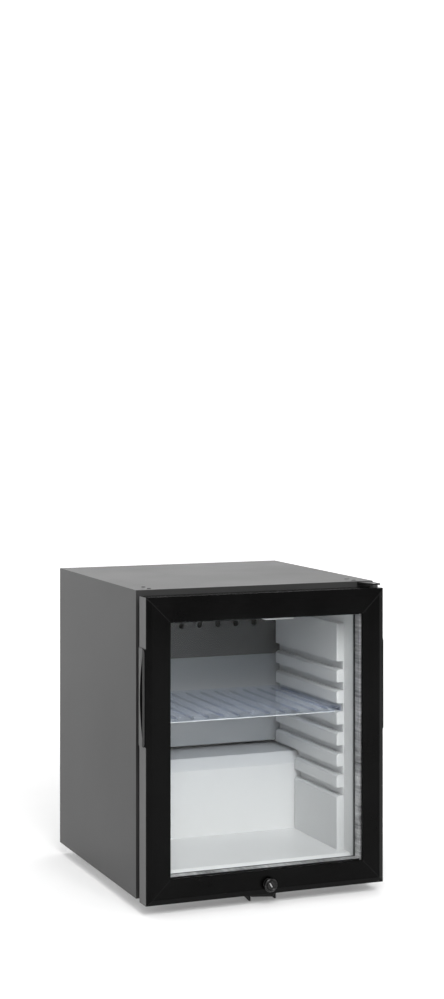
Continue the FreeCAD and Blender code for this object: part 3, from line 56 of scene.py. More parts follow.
class Flow:
    """A shader socket that takes part in Python arithmetic; each operator adds one Math node."""

    def __init__(self, graph, socket):
        self.graph = graph
        self.socket = socket

    def math(self, operation, *terms):
        return self.graph.node("ShaderNodeMath", {"operation": operation}, dict(enumerate(terms)))

    def __add__(self, other):
        return self.math("ADD", self, other)

    def __radd__(self, other):
        return self.math("ADD", other, self)

    def __sub__(self, other):
        return self.math("SUBTRACT", self, other)

    def __rsub__(self, other):
        return self.math("SUBTRACT", other, self)

    def __mul__(self, other):
        return self.math("MULTIPLY", self, other)

    def __rmul__(self, other):
        return self.math("MULTIPLY", other, self)

    def __gt__(self, other):
        return self.math("GREATER_THAN", self, other)

    def __lt__(self, other):
        return self.math("LESS_THAN", self, other)

    def absolute(self):
        return self.math("ABSOLUTE", self)

    def fraction(self):
        return self.math("FRACT", self)

    def larger(self, other):
        return self.math("MAXIMUM", self, other)


class Graph:
    """Nodes of one shader tree."""

    def __init__(self, tree):
        self.tree = tree

    def node(self, kind, settings=None, values=None, output=0):
        """Add a node: its settings first, then the values or links of its sockets."""
        made = self.tree.nodes.new(kind)
        for key, setting in (settings or {}).items():
            setattr(made, key, setting)
        for socket, value in (values or {}).items():
            self.feed(made.inputs[socket], value)
        return Flow(self, made.outputs[output])

    def feed(self, socket, value):
        """Link a socket to a flow, or set its value."""
        if isinstance(value, Flow):
            self.tree.links.new(value.socket, socket)
        else:
            socket.default_value = value

    def parts(self, vector):
        """X, Y and Z of a vector."""
        split = self.node("ShaderNodeSeparateXYZ", values={0: vector})
        return [Flow(self, socket) for socket in split.socket.node.outputs]

    def span(self, value, low, high, out_low=0.0, out_high=1.0):
        """Value carried from one range to another, held at the ends."""
        return self.node("ShaderNodeMapRange", {"clamp": True},
                         {0: value, 1: low, 2: high, 3: out_low, 4: out_high})

    def below(self, value, low, high):
        """One up to low, falling to zero at high."""
        return self.span(value, low, high, 1.0, 0.0)

    def before(self, value, place, blur):
        """One before a place and zero after it, softened over a blur."""
        return self.below(value, place - blur / 2, place + blur / 2)

    def after(self, value, place, blur):
        """Zero before a place and one after it, softened over a blur."""
        return self.span(value, place - blur / 2, place + blur / 2)

    def seen(self):
        """One for a ray from the camera, and one for a ray that a mirror or a pane passes on."""
        rays = self.node("ShaderNodeLightPath").socket.node.outputs
        passed = Flow(self, rays["Is Glossy Ray"]).larger(Flow(self, rays["Is Transmission Ray"]))
        return Flow(self, rays["Is Camera Ray"]), passed


class Finish(Graph):
    """One procedural material: a Principled shader and the nodes that feed it."""

    def __init__(self, name, **constants):
        self.material = bpy.data.materials.new(name)
        self.material.use_nodes = True
        super().__init__(self.material.node_tree)
        self.shader = self.tree.nodes["Principled BSDF"]
        self.give(**constants)

    def give(self, **inputs):
        """Feed the Principled shader's own sockets."""
        for socket, value in inputs.items():
            self.feed(self.shader.inputs[socket.replace("_", " ")], value)

    def body(self):
        """What the Principled shader gives."""
        return Flow(self, self.shader.outputs[0])

    def show(self, shader):
        """Make a shader the material's surface."""
        self.feed(self.tree.nodes["Material Output"].inputs["Surface"], shader)

    def here(self):
        """Object coordinates in metres."""
        return self.node("ShaderNodeTexCoord", output="Object")

    def axes(self):
        """X, Y and Z of the Object coordinates."""
        return self.parts(self.here())

    def noise(self, scale, detail=3.0, rough=0.5, stretch=EVEN):
        """Fractal noise, scale waves to the metre, on coordinates that are stretched along each axis."""
        place = self.node("ShaderNodeVectorMath", {"operation": "MULTIPLY"}, {0: self.here(), 1: stretch})
        return self.node("ShaderNodeTexNoise", values={"Vector": place, "Scale": scale, "Detail": detail,
                                                       "Roughness": rough})

    def cells(self, scale):
        """Distance to the nearest of scattered points, scale points to the metre."""
        return self.node("ShaderNodeTexVoronoi", values={"Vector": self.here(), "Scale": scale})

    def line(self, distance, width):
        """One on a line and zero away from it, from a distance in metres."""
        return self.below(distance.absolute(), width * 0.4, width)

    def blend(self, share, first, second):
        """Colour between two colours."""
        return self.node("ShaderNodeMix", {"data_type": "RGBA"}, {0: share, 6: first, 7: second}, output=2)

    def grazing(self, level):
        """Mirror share of a clear surface: level where it is seen straight on, rising to one along it."""
        facing = self.node("ShaderNodeLayerWeight", values={"Blend": 0.5}, output="Facing")
        square = facing * facing
        return level + (1.0 - level) * square * square * facing

    def see_through(self, tint, share):
        """Straight view through in a tint, with the Principled shader over a share of it."""
        clear = self.node("ShaderNodeBsdfTransparent", values={"Color": tint})
        self.show(self.node("ShaderNodeMixShader", values={0: share, 1: clear, 2: self.body()}))

    def relief(self, height, depth, edge=0.0):
        """Normal of a height that runs from 0 to 1, depth metres deep, over edges rounded by a radius."""
        values = {"Height": height, "Distance": depth, "Strength": 1.0}
        if edge:
            values["Normal"] = self.node("ShaderNodeBevel", {"samples": 4}, {"Radius": edge})
        self.give(Normal=self.node("ShaderNodeBump", values=values))


def grey(level, tint=EVEN):
    """Linear colour of a grey level with a slight tint."""
    return (level * tint[0], level * tint[1], level * tint[2], 1.0)


def coated_steel(name, level, rough):
    """Satin coated sheet: orange-peel relief, cloudy tone, fine specks and a few pale rubs."""
    coat = Finish(name, Specular_IOR_Level=0.16)
    cloud = coat.span(coat.noise(5.0, 4.0), 0.3, 0.7)
    rub = coat.span(coat.noise(30.0, 6.0, 0.7, stretch=(1.0, 1.0, 0.3)), 0.62, 0.8)
    speck = coat.below(coat.cells(700.0), 0.0, 0.3)
    tone = coat.blend(cloud, grey(level * 0.85), grey(level * 1.15))
    tone = coat.blend(rub * 0.1 + speck * 0.05, tone, grey(level * 3.0))
    coat.give(Base_Color=tone, Roughness=rough - 0.03 + cloud * 0.06 + rub * 0.05)
    coat.relief(coat.noise(1400.0, 2.0) * 0.7 + speck * 0.3, depth=0.00003, edge=0.0006)
    return coat.material


def frame_gloss(name):
    """Black gloss door profile: sides painted grey, a painted reflection of the bright surroundings, faint
    haze, hairlines, dust and mitre lines.

    In front of the grips the sides stay black.
    """
    mitre_width, grip_lip, painted_reflection_skin = 0.0006, 0.0025, 0.00055
    coat = Finish(name, Specular_IOR_Level=0.06)
    x, y, z = coat.axes()
    haze = coat.noise(14.0, 5.0, 0.6)
    hair = coat.span(coat.noise(60.0, 2.0, stretch=(0.05, 1.0, 9.0)), 0.66, 0.72)
    dust = coat.below(coat.cells(420.0), 0.04, 0.10) * coat.span(haze, 0.45, 0.7)
    mitre = (x.absolute() - DOOR_HALF.x) - ((z - DOOR_MIDDLE.z).absolute() - DOOR_HALF.z)
    joint = coat.line(mitre, mitre_width)
    low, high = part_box("handle_grip_left")
    from_middle = (z - (low.z + high.z) / 2).absolute()
    ahead = coat.below(from_middle, 0.0, (high.z - low.z) / 2)
    ahead = ahead * coat.before(y, low.y + grip_lip, blur=0.001)
    # Painted reflection: the sides are painted grey for the bright surroundings that the black gloss mirrors
    # along them; they stay black in front of the grips.
    side = coat.after(x.absolute(), DOOR_HALF.x - painted_reflection_skin, blur=0.0005) * (1.0 - (ahead > 0.0))
    tone = coat.blend(coat.span(haze, 0.35, 0.75), grey(0.0016), grey(0.0030))
    tone = coat.blend(dust * 0.1 + joint * 0.06, tone, grey(0.22))
    tone = coat.blend(side, tone, grey(0.12))
    rough = coat.span(haze, 0.3, 0.7, 0.10, 0.17)
    coat.give(Base_Color=tone, Roughness=rough + hair * 0.05 + side * 0.2)
    coat.relief(coat.noise(120.0, 2.0) - joint * 0.6, depth=0.00003, edge=0.0006)
    return coat.material


def plastic_skin(name, edge):
    """Plastic with a fine grain, the cloud for its slow change of tone and its handling marks."""
    skin = Finish(name, Specular_IOR_Level=0.4)
    skin.relief(skin.noise(1800.0, 2.0), depth=0.00002, edge=edge)
    return skin, skin.noise(9.0, 1.0), skin.span(skin.noise(34.0, 6.0, 0.7), 0.6, 0.8)


def moulded(name, level, rough, tint=EVEN, edge=0.0008, marks=0.03):
    """Moulded plastic: fine grain, slow change of tone, handling marks."""
    skin, cloud, mark = plastic_skin(name, edge)
    tone = skin.blend(cloud, grey(level * (1.0 - marks), tint), grey(level * (1.0 + marks), tint))
    tone = skin.blend(mark * marks, tone, grey(level * 0.6, tint))
    skin.give(Base_Color=tone, Roughness=rough - 0.01 + cloud * 0.02 + mark * marks * 2.0)
    return skin.material


def liner_plastic(name):
    """Formed liner: slow change of tone; a flange painted darker, painted shade on its front face, that
    carries the track of the door seal.
    """
    flange_skin = 0.001
    skin, cloud, mark = plastic_skin(name, edge=0.0008)
    x, y, z = skin.axes()
    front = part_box("inner_liner")[0].y
    low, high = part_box("door_gasket")
    middle, half = (low + high) / 2, (high - low) / 2
    flange = skin.before(y, front + flange_skin, blur=0.001)
    inset = (x.absolute() - half.x).larger((z - middle.z).absolute() - half.z) + SEAL_HALF
    track = flange * skin.line(inset, SEAL_HALF) * (0.6 + cloud * 0.4)
    tone = skin.blend(cloud, grey(0.70), grey(0.72))
    # Painted shade: the flange's front face is painted a shade darker than the rest of the liner.
    tone = skin.blend(flange, tone, grey(0.54))
    tone = skin.blend(mark * 0.008 + track * 0.2, tone, grey(0.40))
    skin.give(Base_Color=tone, Roughness=0.33 + cloud * 0.02 + mark * 0.01 + track * 0.1)
    return skin.material


def grip_plastic(name):
    """Grip insert: flange painted grey like the door's side, a painted reflection, darker along its front,
    and painted shade in black within the pocket.
    """
    flange_skin, dark_front = 0.00035, 0.011
    skin = Finish(name, Specular_IOR_Level=0.05)
    x, y, _ = skin.axes()
    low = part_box("handle_grip_left")[0]
    pocket_shade = skin.before(x.absolute() + low.x, -flange_skin, blur=0.0003)
    ahead = skin.before(y, low.y + dark_front, blur=0.004)
    rub = skin.span(skin.noise(55.0, 6.0, 0.7, stretch=(1.0, 1.0, 0.3)), 0.55, 0.8)
    # Painted reflection: the flange is painted grey like the door's side.
    tone = skin.blend(ahead, grey(0.12), grey(0.016))
    tone = skin.blend(rub * 0.12, tone, grey(0.13))
    # Painted shade: the pocket is painted black within, for the shade in the recess.
    tone = skin.blend(pocket_shade, tone, grey(0.003))
    skin.give(Base_Color=tone, Roughness=0.4 + rub * 0.08 + pocket_shade * 0.4)
    skin.relief(skin.noise(1600.0, 2.0), depth=0.00003, edge=0.0007)
    return skin.material


def duct_panel(name):
    """Evaporator cover: glossy grey panel, painted darker upwards as painted shade, under a top strip that is
    painted dark and holds the air holes.
    """
    strip_height, joint_width = 0.105, 0.0012
    panel = Finish(name, Specular_IOR_Level=0.5)
    z = panel.axes()[2]
    low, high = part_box("evaporator_cover")
    seam = high.z - strip_height
    strip = panel.after(z, seam, blur=0.001)
    cloud = panel.span(panel.noise(7.0, 4.0), 0.3, 0.7)
    # Painted shade: the panel is painted darker from foot to top, for the shadow under the ceiling.
    foot, top = grey(0.40, (0.98, 1.0, 1.02)), grey(0.26, (0.96, 1.0, 1.05))
    light = panel.blend(panel.span(z, low.z, seam), foot, top)
    dark = panel.blend(cloud, grey(0.055), grey(0.075))
    panel.give(Base_Color=panel.blend(strip, light, dark), Roughness=0.2 + cloud * 0.06 + strip * 0.15)
    joint = panel.line(z - seam, joint_width)
    panel.relief(panel.noise(900.0, 2.0) * 0.1 - joint, depth=0.0003, edge=0.0003)
    return panel.material


def bright_metal(name, level, rough, tint=EVEN, brush=EVEN):
    """Bare metal: drawn lines along one axis and dull patches."""
    metal = Finish(name, Metallic=1.0)
    drawn = metal.noise(700.0, 3.0, 0.6, stretch=brush)
    patch = metal.span(metal.noise(40.0, 5.0, 0.6), 0.3, 0.7)
    tone = metal.blend(patch, grey(level * 0.8, tint), grey(level * 1.1, tint))
    metal.give(Base_Color=tone, Roughness=rough - 0.05 + patch * 0.12 + drawn * 0.06)
    metal.relief(drawn, depth=0.00002, edge=0.0004)
    return metal.material


def rubber(name, level):
    """Matte rubber: chalky bloom and a fine pebble grain."""
    skin = Finish(name, Specular_IOR_Level=0.25)
    bloom = skin.noise(30.0, 6.0, 0.65)
    tone = skin.blend(skin.span(bloom, 0.35, 0.75), grey(level), grey(level * 1.8))
    skin.give(Base_Color=tone, Roughness=skin.span(bloom, 0.3, 0.7, 0.62, 0.8))
    skin.relief(skin.noise(2200.0, 2.0), depth=0.00004)
    return skin.material


def pane(name):
    """Clear pane: straight view through, a mirror that grows along the surface, a trace of wiping marks."""
    glass = Finish(name, Metallic=1.0, Base_Color=grey(0.95))
    wiped = glass.span(glass.noise(7.0, 6.0, 0.65, stretch=(1.0, 1.0, 0.35)), 0.5, 0.8)
    glass.give(Roughness=0.02 + wiped * 0.1)
    glass.see_through((0.988, 0.992, 0.992, 1.0), glass.grazing(0.006) * 0.6 + wiped * 0.002)
    return glass.material


def clear_plastic(name):
    """Clear bluish shelf: tinted view through, a mirror along the surface, dark ribs, a painted highlight
    along the lip's bottom edge.

    Painted highlights sparkle over the front of the deck, where the ribs run into the lip.
    """
    lip_depth, foot_height, deck_height = 0.003, 0.001, 0.0034
    painted_glint_start, painted_glint_end = 0.004, 0.030
    sheet = Finish(name, Specular_IOR_Level=0.5)
    _, y, z = sheet.axes()
    low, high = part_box("shelf")
    streak = sheet.span(sheet.noise(45.0, 4.0, 0.6, stretch=(1.0, 0.35, 1.0)), 0.45, 0.75)
    lip = sheet.before(y, low.y + lip_depth, blur=0.0008)
    # Painted highlight: the bottom edge of the lip is painted bright.
    foot = lip * sheet.before(z, low.z + foot_height, blur=0.0008)
    rib = (1.0 - lip) * sheet.before(z, high.z - deck_height, blur=0.0004)
    # Painted highlight: bright glints are painted over the front of the deck.
    painted_glint = sheet.below(y, low.y + painted_glint_start, low.y + painted_glint_end) * (1.0 - lip)
    painted_glint = painted_glint * sheet.span(sheet.noise(130.0, 2.0, stretch=(1.0, 0.5, 1.0)), 0.50, 0.62)
    tone = sheet.blend(streak, (0.66, 0.73, 0.90, 1.0), (0.95, 0.97, 1.0, 1.0))
    tone = sheet.blend(rib, tone, (0.10, 0.13, 0.26, 1.0))
    tone = sheet.blend(foot.larger(painted_glint), tone, grey(0.95))
    sheet.give(Base_Color=tone, Roughness=0.10 + streak * 0.15)
    sheet.relief(sheet.noise(260.0, 2.0), depth=0.00004, edge=0.0006)
    share = sheet.grazing(0.03) * 0.40 + streak * 0.12 + foot * 0.5 + rib * 0.30 + painted_glint * 0.25
    sheet.see_through((0.94, 0.957, 0.985, 1.0), share)
    return sheet.material


def foam_skin(name):
    """Cut foam: pale yellow with open cells."""
    foam = Finish(name, Specular_IOR_Level=0.2)
    cell = foam.cells(700.0)
    tone = foam.blend(foam.noise(20.0, 5.0), (0.62, 0.50, 0.28, 1.0), (0.80, 0.70, 0.44, 1.0))
    foam.give(Base_Color=tone, Roughness=foam.span(cell, 0.0, 0.5, 0.95, 0.8))
    foam.relief(cell, depth=0.0003)
    return foam.material


def spacer_strip(name):
    """Silver spacer: rows of painted glare, brighter and duller stretches, painted glare in the colour and
    real in the roughness, pinholes.

    Dark sealant lies at the panes on the level bars.
    """
    bar_width, sealant_skin = 0.00825, 0.00025
    strip = Finish(name, Metallic=0.6, Specular_IOR_Level=0.5)
    x, y, _ = strip.axes()
    low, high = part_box("glass_spacer")
    upright = strip.after(x.absolute(), high.x - bar_width, blur=0.0005)
    rows = strip.noise(230.0, 3.0, 0.6, stretch=(0.06, 0.06, 1.0))
    ranks = strip.noise(230.0, 3.0, 0.6, stretch=(1.0, 0.06, 0.06))
    band = rows * upright + ranks * (1.0 - upright)
    stretch = strip.span(strip.noise(16.0, 4.0, 0.6), 0.35, 0.65)
    pins = strip.below(strip.cells(420.0), 0.10, 0.18)
    # Painted reflection: rows and stretches of glare are painted into the metal's colour.
    painted_glare = strip.span(band, 0.35, 0.65, 0.0, 0.5) + stretch * 0.5
    half = (high.y - low.y) / 2
    sealant = strip.after((y - (low.y + half)).absolute(), half - sealant_skin, blur=0.0003)
    tone = strip.blend(painted_glare, grey(0.10), grey(0.72))
    tone = strip.blend(pins * 0.4, tone, grey(0.04))
    tone = strip.blend(sealant * (1.0 - upright), tone, grey(0.01))
    strip.give(Base_Color=tone, Roughness=0.5 - stretch * 0.15)
    strip.relief(band - pins, depth=0.00006)
    return strip.material


def frosted_lens(name):
    """Frosted lamp lens with fine prisms, which rise slowly and drop at once."""
    prisms_per_metre = 800.0
    lens = Finish(name, Specular_IOR_Level=0.5)
    ridge = (lens.axes()[0] * prisms_per_metre).fraction()
    lens.give(Base_Color=lens.blend(ridge, grey(0.80), grey(0.92)), Roughness=0.25 + ridge * 0.15)
    lens.relief(ridge, depth=0.0005)
    return lens.material


CABINET = coated_steel("cabinet_coat", 0.034, 0.36)
BLACK_SHEET = coated_steel("black_sheet", 0.010, 0.40)
ZINC = bright_metal("zinc_sheet", 0.60, 0.38)
FRAME = frame_gloss("frame_gloss")
INNER_FRAME = moulded("inner_frame", 0.012, 0.5)
LINER = liner_plastic("liner_plastic")
RUNNER = moulded("runner_plastic", 0.66, 0.3, tint=(0.995, 1.0, 1.005), edge=0.0012, marks=0.003)
COVER = duct_panel("duct_panel")
CONTROL = moulded("control_plastic", 0.55, 0.4)
DARK_PLASTIC = moulded("dark_plastic", 0.02, 0.45)
GRIP = grip_plastic("grip_plastic")
SEAL = rubber("seal_rubber", 0.006)
FOOT = rubber("foot_rubber", 0.012)
GLASS = pane("door_pane")
SHELF = clear_plastic("shelf_plastic")
SPACER = spacer_strip("spacer_strip")
FOAM = foam_skin("foam_skin")
LENS = frosted_lens("frosted_lens")
LOCK = bright_metal("lock_nickel", 0.035, 0.22)
GATE = bright_metal("gate_nickel", 0.7, 0.3)
STEEL = bright_metal("pin_steel", 0.55, 0.3, brush=(1.0, 1.0, 0.05))
DARK_STEEL = bright_metal("screw_steel", 0.16, 0.34)
COPPER = bright_metal("tube_copper", 0.75, 0.28, tint=(1.0, 0.52, 0.30))
# Partly painted shade: the evaporator plate is dull aluminium, its tone lowered further for the shadow it
# lies in behind the cover, so that the air holes read dark.
ALUMINIUM = bright_metal("plate_aluminium", 0.45, 0.42, brush=(0.05, 1.0, 1.0))
COMPRESSOR = coated_steel("compressor_paint", 0.010, 0.26)

WEAR = {
    CABINET: ["outer_shell"],
    BLACK_SHEET: ["rear_panel", "upper_hinge_plate", "lower_hinge_plate", "lock_keeper", "condenser",
                  "rear_grille"],
    ZINC: ["base_pan", "compressor_step", "compressor_base"],
    FRAME: ["door_rail_top", "door_rail_bottom", "door_stile_left", "door_stile_right"],
    INNER_FRAME: ["door_back_frame"],
    LINER: ["inner_liner"],
    RUNNER: ["shelf_runner_left", "shelf_runner_right"],
    COVER: ["evaporator_cover"],
    CONTROL: ["control_housing", "thermostat_dial"],
    DARK_PLASTIC: ["hinge_hole_plugs", "terminal_cover", "drip_tray", "drain_tube", "condenser_brackets",
                   "mains_inlet", "upper_hinge_bush", "lower_hinge_bush"],
    GRIP: ["handle_grip_left", "handle_grip_right"],
    SEAL: ["door_gasket", "compressor_grommets"],
    FOOT: ["foot_front_left", "foot_front_right", "foot_rear_left", "foot_rear_right"],
    GLASS: ["outer_glass", "inner_glass"],
    SHELF: ["shelf"],
    SPACER: ["glass_spacer"],
    FOAM: ["foam_insulation"],
    LENS: ["lamp_lens"],
    LOCK: ["lock_housing", "lock_plug"],
    STEEL: ["upper_hinge_pin", "lower_hinge_pin", "lock_nut", "lock_cam"],
    DARK_STEEL: ["hinge_screws", "keeper_screws", "grille_screws", "cam_screw"],
    COPPER: ["discharge_tube", "suction_tube", "capillary_tube", "filter_drier"],
    ALUMINIUM: ["evaporator_plate"],
    COMPRESSOR: ["compressor_shell"],
}
for material, names in WEAR.items():
    for name in names:
        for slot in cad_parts[name].material_slots:
            slot.material = material


def surface(name, points, faces):
    """Mesh object from whole arrays of points and faces, linked to the scene."""
    mesh = bpy.data.meshes.new(name)
    mesh.from_pydata(points.tolist(), [], [face.tolist() for block in faces for face in block])
    mesh.update()
    made = bpy.data.objects.new(name, mesh)
    bpy.context.scene.collection.objects.link(made)
    return made


def outward(points, faces):
    """Faces turned over where the volume that they enclose comes out negative.

    The volume is a sixth of the sum of p . (q x r) over all triangles p, q, r of the fans that split the
    faces.
    """
    volume = 0.0
    for block in faces:
        for last in range(2, block.shape[1]):
            p, q, r = points[block[:, 0]], points[block[:, last - 1]], points[block[:, last]]
            volume += np.einsum("ij,ij->", p, np.cross(q, r)) / 6.0
    return faces if volume > 0.0 else [block[:, ::-1] for block in faces]


def fit(name, points, faces, material, body, replaced=None):
    """Closed piece on a body: faces outwards, shaded smooth up to a corner of 35 degrees."""
    made = surface(name, points, outward(points, faces))
    made.data.shade_smooth()
    made.data.set_sharp_from_angle(angle=math.radians(35.0))
    made.data.materials.append(material)
    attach(made, body)
    if replaced:
        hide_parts(replaced)


def ring_angles(around):
    """Angles of the points on a ring, over one full turn."""
    return np.linspace(0.0, 2.0 * np.pi, around, endpoint=False)


def hoops(count, around, closed=False):
    """Quads between neighbouring rings of points; closed joins the last ring to the first."""
    ring = np.arange(count if closed else count - 1)[:, None]
    step = np.arange(around)[None, :]
    beside = (step + 1) % around
    after = (ring + 1) % count
    quads = [ring * around + step, ring * around + beside, after * around + beside, after * around + step]
    return np.stack(quads, axis=-1).reshape(-1, 4)


def fan(first, around, pole):
    """Triangles from one ring of points, which starts at index first, to a pole."""
    step = np.arange(around)
    return np.stack([first + step, first + (step + 1) % around, np.full(around, pole)], axis=1)


def capped(rings):
    """Faces of rings closed by two poles, which follow the rings' points: hoops, then a fan at each end."""
    count, around = rings.shape[:2]
    total = count * around
    return [hoops(count, around), fan(0, around, total)[:, ::-1], fan(total - around, around, total + 1)]


def seal_bellows():
    """Door seal: a closed section carried round a mitred rectangle.

    Half the section's width is broad at the base and the magnet head. Between them it is the slim width plus
    a raised cosine of two waves, lower in the middle. The four outer corners are quarter circles.
    """
    low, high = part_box("door_gasket")
    broad, slim, corner = SEAL_HALF, 0.0045, 0.0011
    fold_start, fold_run, fold_drop = 0.22, 0.42, 0.35
    share = np.linspace(0.0, 1.0, 57)
    fold = np.clip((share - fold_start) / fold_run, 0.0, 1.0)
    wave = 0.5 + 0.5 * np.cos(4.0 * np.pi * fold)
    half = slim + (broad - slim) * wave * (1.0 - fold_drop * np.sin(np.pi * fold))
    depth = (high.y - low.y) * share
    edge = np.minimum(corner, np.minimum(depth, depth[-1] - depth))
    half = np.minimum(half, broad - corner + np.sqrt(corner ** 2 - (corner - edge) ** 2))
    inset = np.concatenate([half, -half[::-1]]) + broad
    along = low.y + np.concatenate([depth, depth[::-1]])
    side = np.array([-1.0, 1.0, 1.0, -1.0])[:, None]
    rise = np.array([-1.0, -1.0, 1.0, 1.0])[:, None]
    middle = (low + high) / 2
    x = middle.x + side * ((high.x - low.x) / 2 - inset)
    z = middle.z + rise * ((high.z - low.z) / 2 - inset)
    points = np.stack([x, np.broadcast_to(along, x.shape), z], axis=-1).reshape(-1, 3)
    faces = [hoops(len(side), len(inset), closed=True)]
    fit("seal_bellows", points, faces, SEAL, "door", "door_gasket")


def pan_head(radius, head, shank, length):
    """Pan-head screw along +Z from its seat: rings about the axis, closed by a pole at each end.

    The dome stands head times the square root of 1 - 0.8 (r / radius)^2 over the seat, less the cross: a
    depth that fades to nothing at the sides and the ends of its four arms. The rim drops to the seat, then
    the shank.
    """
    arm_side, arm_side_slope = 0.16 * radius, 0.05 * radius
    arm_end, arm_end_slope = 0.66 * radius, 0.1 * radius
    cross_depth = 0.7 * head
    turn = ring_angles(64)
    share = np.linspace(0.05, 1.0, 20)[:, None]
    across = radius * share
    aside = np.minimum(np.abs(np.cos(turn)), np.abs(np.sin(turn))) * across
    cross = np.clip((arm_side - aside) / arm_side_slope, 0.0, 1.0)
    cross = cross * np.clip((arm_end - across) / arm_end_slope, 0.0, 1.0)
    dome = head * np.sqrt(1.0 - 0.8 * share ** 2) - cross_depth * cross
    stem = np.array([[radius, 0.0], [shank, 0.0], [shank, 0.5 * shank - length]])
    reach = np.concatenate([across, stem[:, :1]]) * np.ones_like(turn)
    height = np.concatenate([dome, stem[:, 1:] * np.ones_like(turn)])
    rings = np.stack([reach * np.cos(turn), reach * np.sin(turn), height], axis=-1)
    poles = np.array([[0.0, 0.0, dome[0, 0]], [0.0, 0.0, -length]])
    return np.concatenate([rings.reshape(-1, 3), poles]), capped(rings)


def drive(seats, facing, radius, head, shank, length):
    """Points and faces of a set of screws.

    The same pan head is set at each seat, its axis along facing, its cross turned on from screw to screw.
    """
    first_turn, next_turn = 0.5, 0.8
    shape, faces = pan_head(radius, head, shank, length)
    outwards = np.array(facing, dtype=float)
    first = np.roll(outwards, 1)
    second = np.roll(outwards, 2) * outwards.sum()
    spin = first_turn + next_turn * np.arange(len(seats))
    cosine, sine = np.cos(spin)[:, None, None], np.sin(spin)[:, None, None]
    a, b, up = shape[None, :, 0:1], shape[None, :, 1:2], shape[None, :, 2:3]
    points = np.array(seats)[:, None, :] + (a * cosine - b * sine) * first + (a * sine + b * cosine) * second
    points = (points + up * outwards).reshape(-1, 3)
    offset = (np.arange(len(seats)) * len(shape))[:, None, None]
    faces = [(block[None] + offset).reshape(-1, block.shape[1]) for block in faces]
    return points, faces


def screws():
    """Screws in place of the plain ones: hinge plates, keeper, grille and lock cam."""
    radius, head = 0.004, 0.0015
    plate_screw = {"radius": radius, "head": head, "shank": 0.002, "length": 0.008}
    low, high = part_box("hinge_screws")
    middle = (low + high) / 2
    rows = (low.y + radius, high.y - radius)
    upper = drive([(middle.x, y, high.z - head) for y in rows], (0, 0, 1), **plate_screw)
    lower = drive([(middle.x, y, low.z + head) for y in rows], (0, 0, -1), **plate_screw)
    points = np.concatenate([upper[0], lower[0]])
    faces = upper[1] + [block + len(upper[0]) for block in lower[1]]
    fit("hinge_pan_heads", points, faces, DARK_STEEL, "cabinet", "hinge_screws")
    low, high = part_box("keeper_screws")
    seats = [(x, (low.y + high.y) / 2, low.z + head) for x in (low.x + radius, high.x - radius)]
    points, faces = drive(seats, (0, 0, -1), **plate_screw)
    fit("keeper_pan_heads", points, faces, DARK_STEEL, "cabinet", "keeper_screws")
    low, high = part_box("grille_screws")
    columns, rows = (low.x + radius, high.x - radius), (low.z + radius, high.z - radius)
    points, faces = drive([(x, high.y - head, z) for x in columns for z in rows], (0, 1, 0), **plate_screw)
    fit("grille_pan_heads", points, faces, DARK_STEEL, "cabinet", "grille_screws")
    low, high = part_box("cam_screw")
    middle = (low + high) / 2
    cam_head = 0.0024
    points, faces = drive([(middle.x, high.y - cam_head, middle.z)], (0, 1, 0),
                          radius=0.0045, head=cam_head, shank=0.0015, length=0.008)
    fit("cam_pan_head", points, faces, DARK_STEEL, "lock", "cam_screw")


def lock_bezel():
    """Lock housing turned about the lock's axis.

    The section is a bore with a chamfered mouth, a face with one turned groove, a quarter-round rim, the seat
    and a barrel whose radius follows a triangle wave, which is its thread.
    """
    low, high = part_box("lock_housing")
    middle = (low + high) / 2
    bore, rim, barrel, seat = 0.00655, 0.011, 0.0093, 0.004
    rounding, thread_depth, flanks = 0.0024, 0.0005, 40
    end = high.y - low.y
    mouth = [[bore, 0.0011], [bore + 0.0006, 0.0005]]
    groove = [[0.0076, 0.0002], [0.0079, 0.0006], [0.0082, 0.0002]]
    bend = np.linspace(0.0, np.pi / 2, 9)
    round_rim = np.stack([rim - rounding + rounding * np.sin(bend), rounding * (1.0 - np.cos(bend))], axis=1)
    run = np.linspace(seat, end, flanks)
    thread = np.stack([barrel - thread_depth * (np.arange(flanks) % 2), run], axis=1)
    section = np.concatenate([mouth, groove, round_rim, [[rim, seat]], thread, [[bore, end]]])
    turn = ring_angles(72)
    across, along = section[:, :1], section[:, 1:]
    points = np.stack([middle.x + across * np.cos(turn), low.y + along * np.ones_like(turn),
                       middle.z + across * np.sin(turn)], axis=-1).reshape(-1, 3)
    faces = [hoops(len(section), len(turn), closed=True)]
    fit("lock_bezel", points, faces, LOCK, "door", "lock_housing")


def keyway_gate():
    """Bright spring gate that closes the keyway: a sheared rounded oblong with a crowned face.

    Its outline is a superellipse of power 5, sheared sideways with height; the face stands highest in the
    middle.
    """
    low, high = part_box("lock_plug")
    middle = (low + high) / 2
    half_height, half_width, shear, power = 0.0038, 0.0013, 0.55, 5
    turn = ring_angles(48)
    scale = (np.abs(np.cos(turn)) ** power + np.abs(np.sin(turn)) ** power) ** (-1.0 / power)
    share = np.array([0.2, 0.5, 0.8, 0.95, 1.0, 1.0])[:, None]
    sink = np.array([0.0004, 0.0005, 0.0007, 0.0010, 0.0016, 0.0060])[:, None]
    rise = half_height * share * scale * np.sin(turn)
    across = half_width * share * scale * np.cos(turn) - rise * shear
    rings = np.stack([middle.x + across, low.y + sink * np.ones_like(turn), middle.z + rise], axis=-1)
    poles = np.array([[middle.x, low.y + sink[end, 0], middle.z] for end in (0, -1)])
    points = np.concatenate([rings.reshape(-1, 3), poles])
    fit("keyway_gate", points, capped(rings), GATE, "lock")


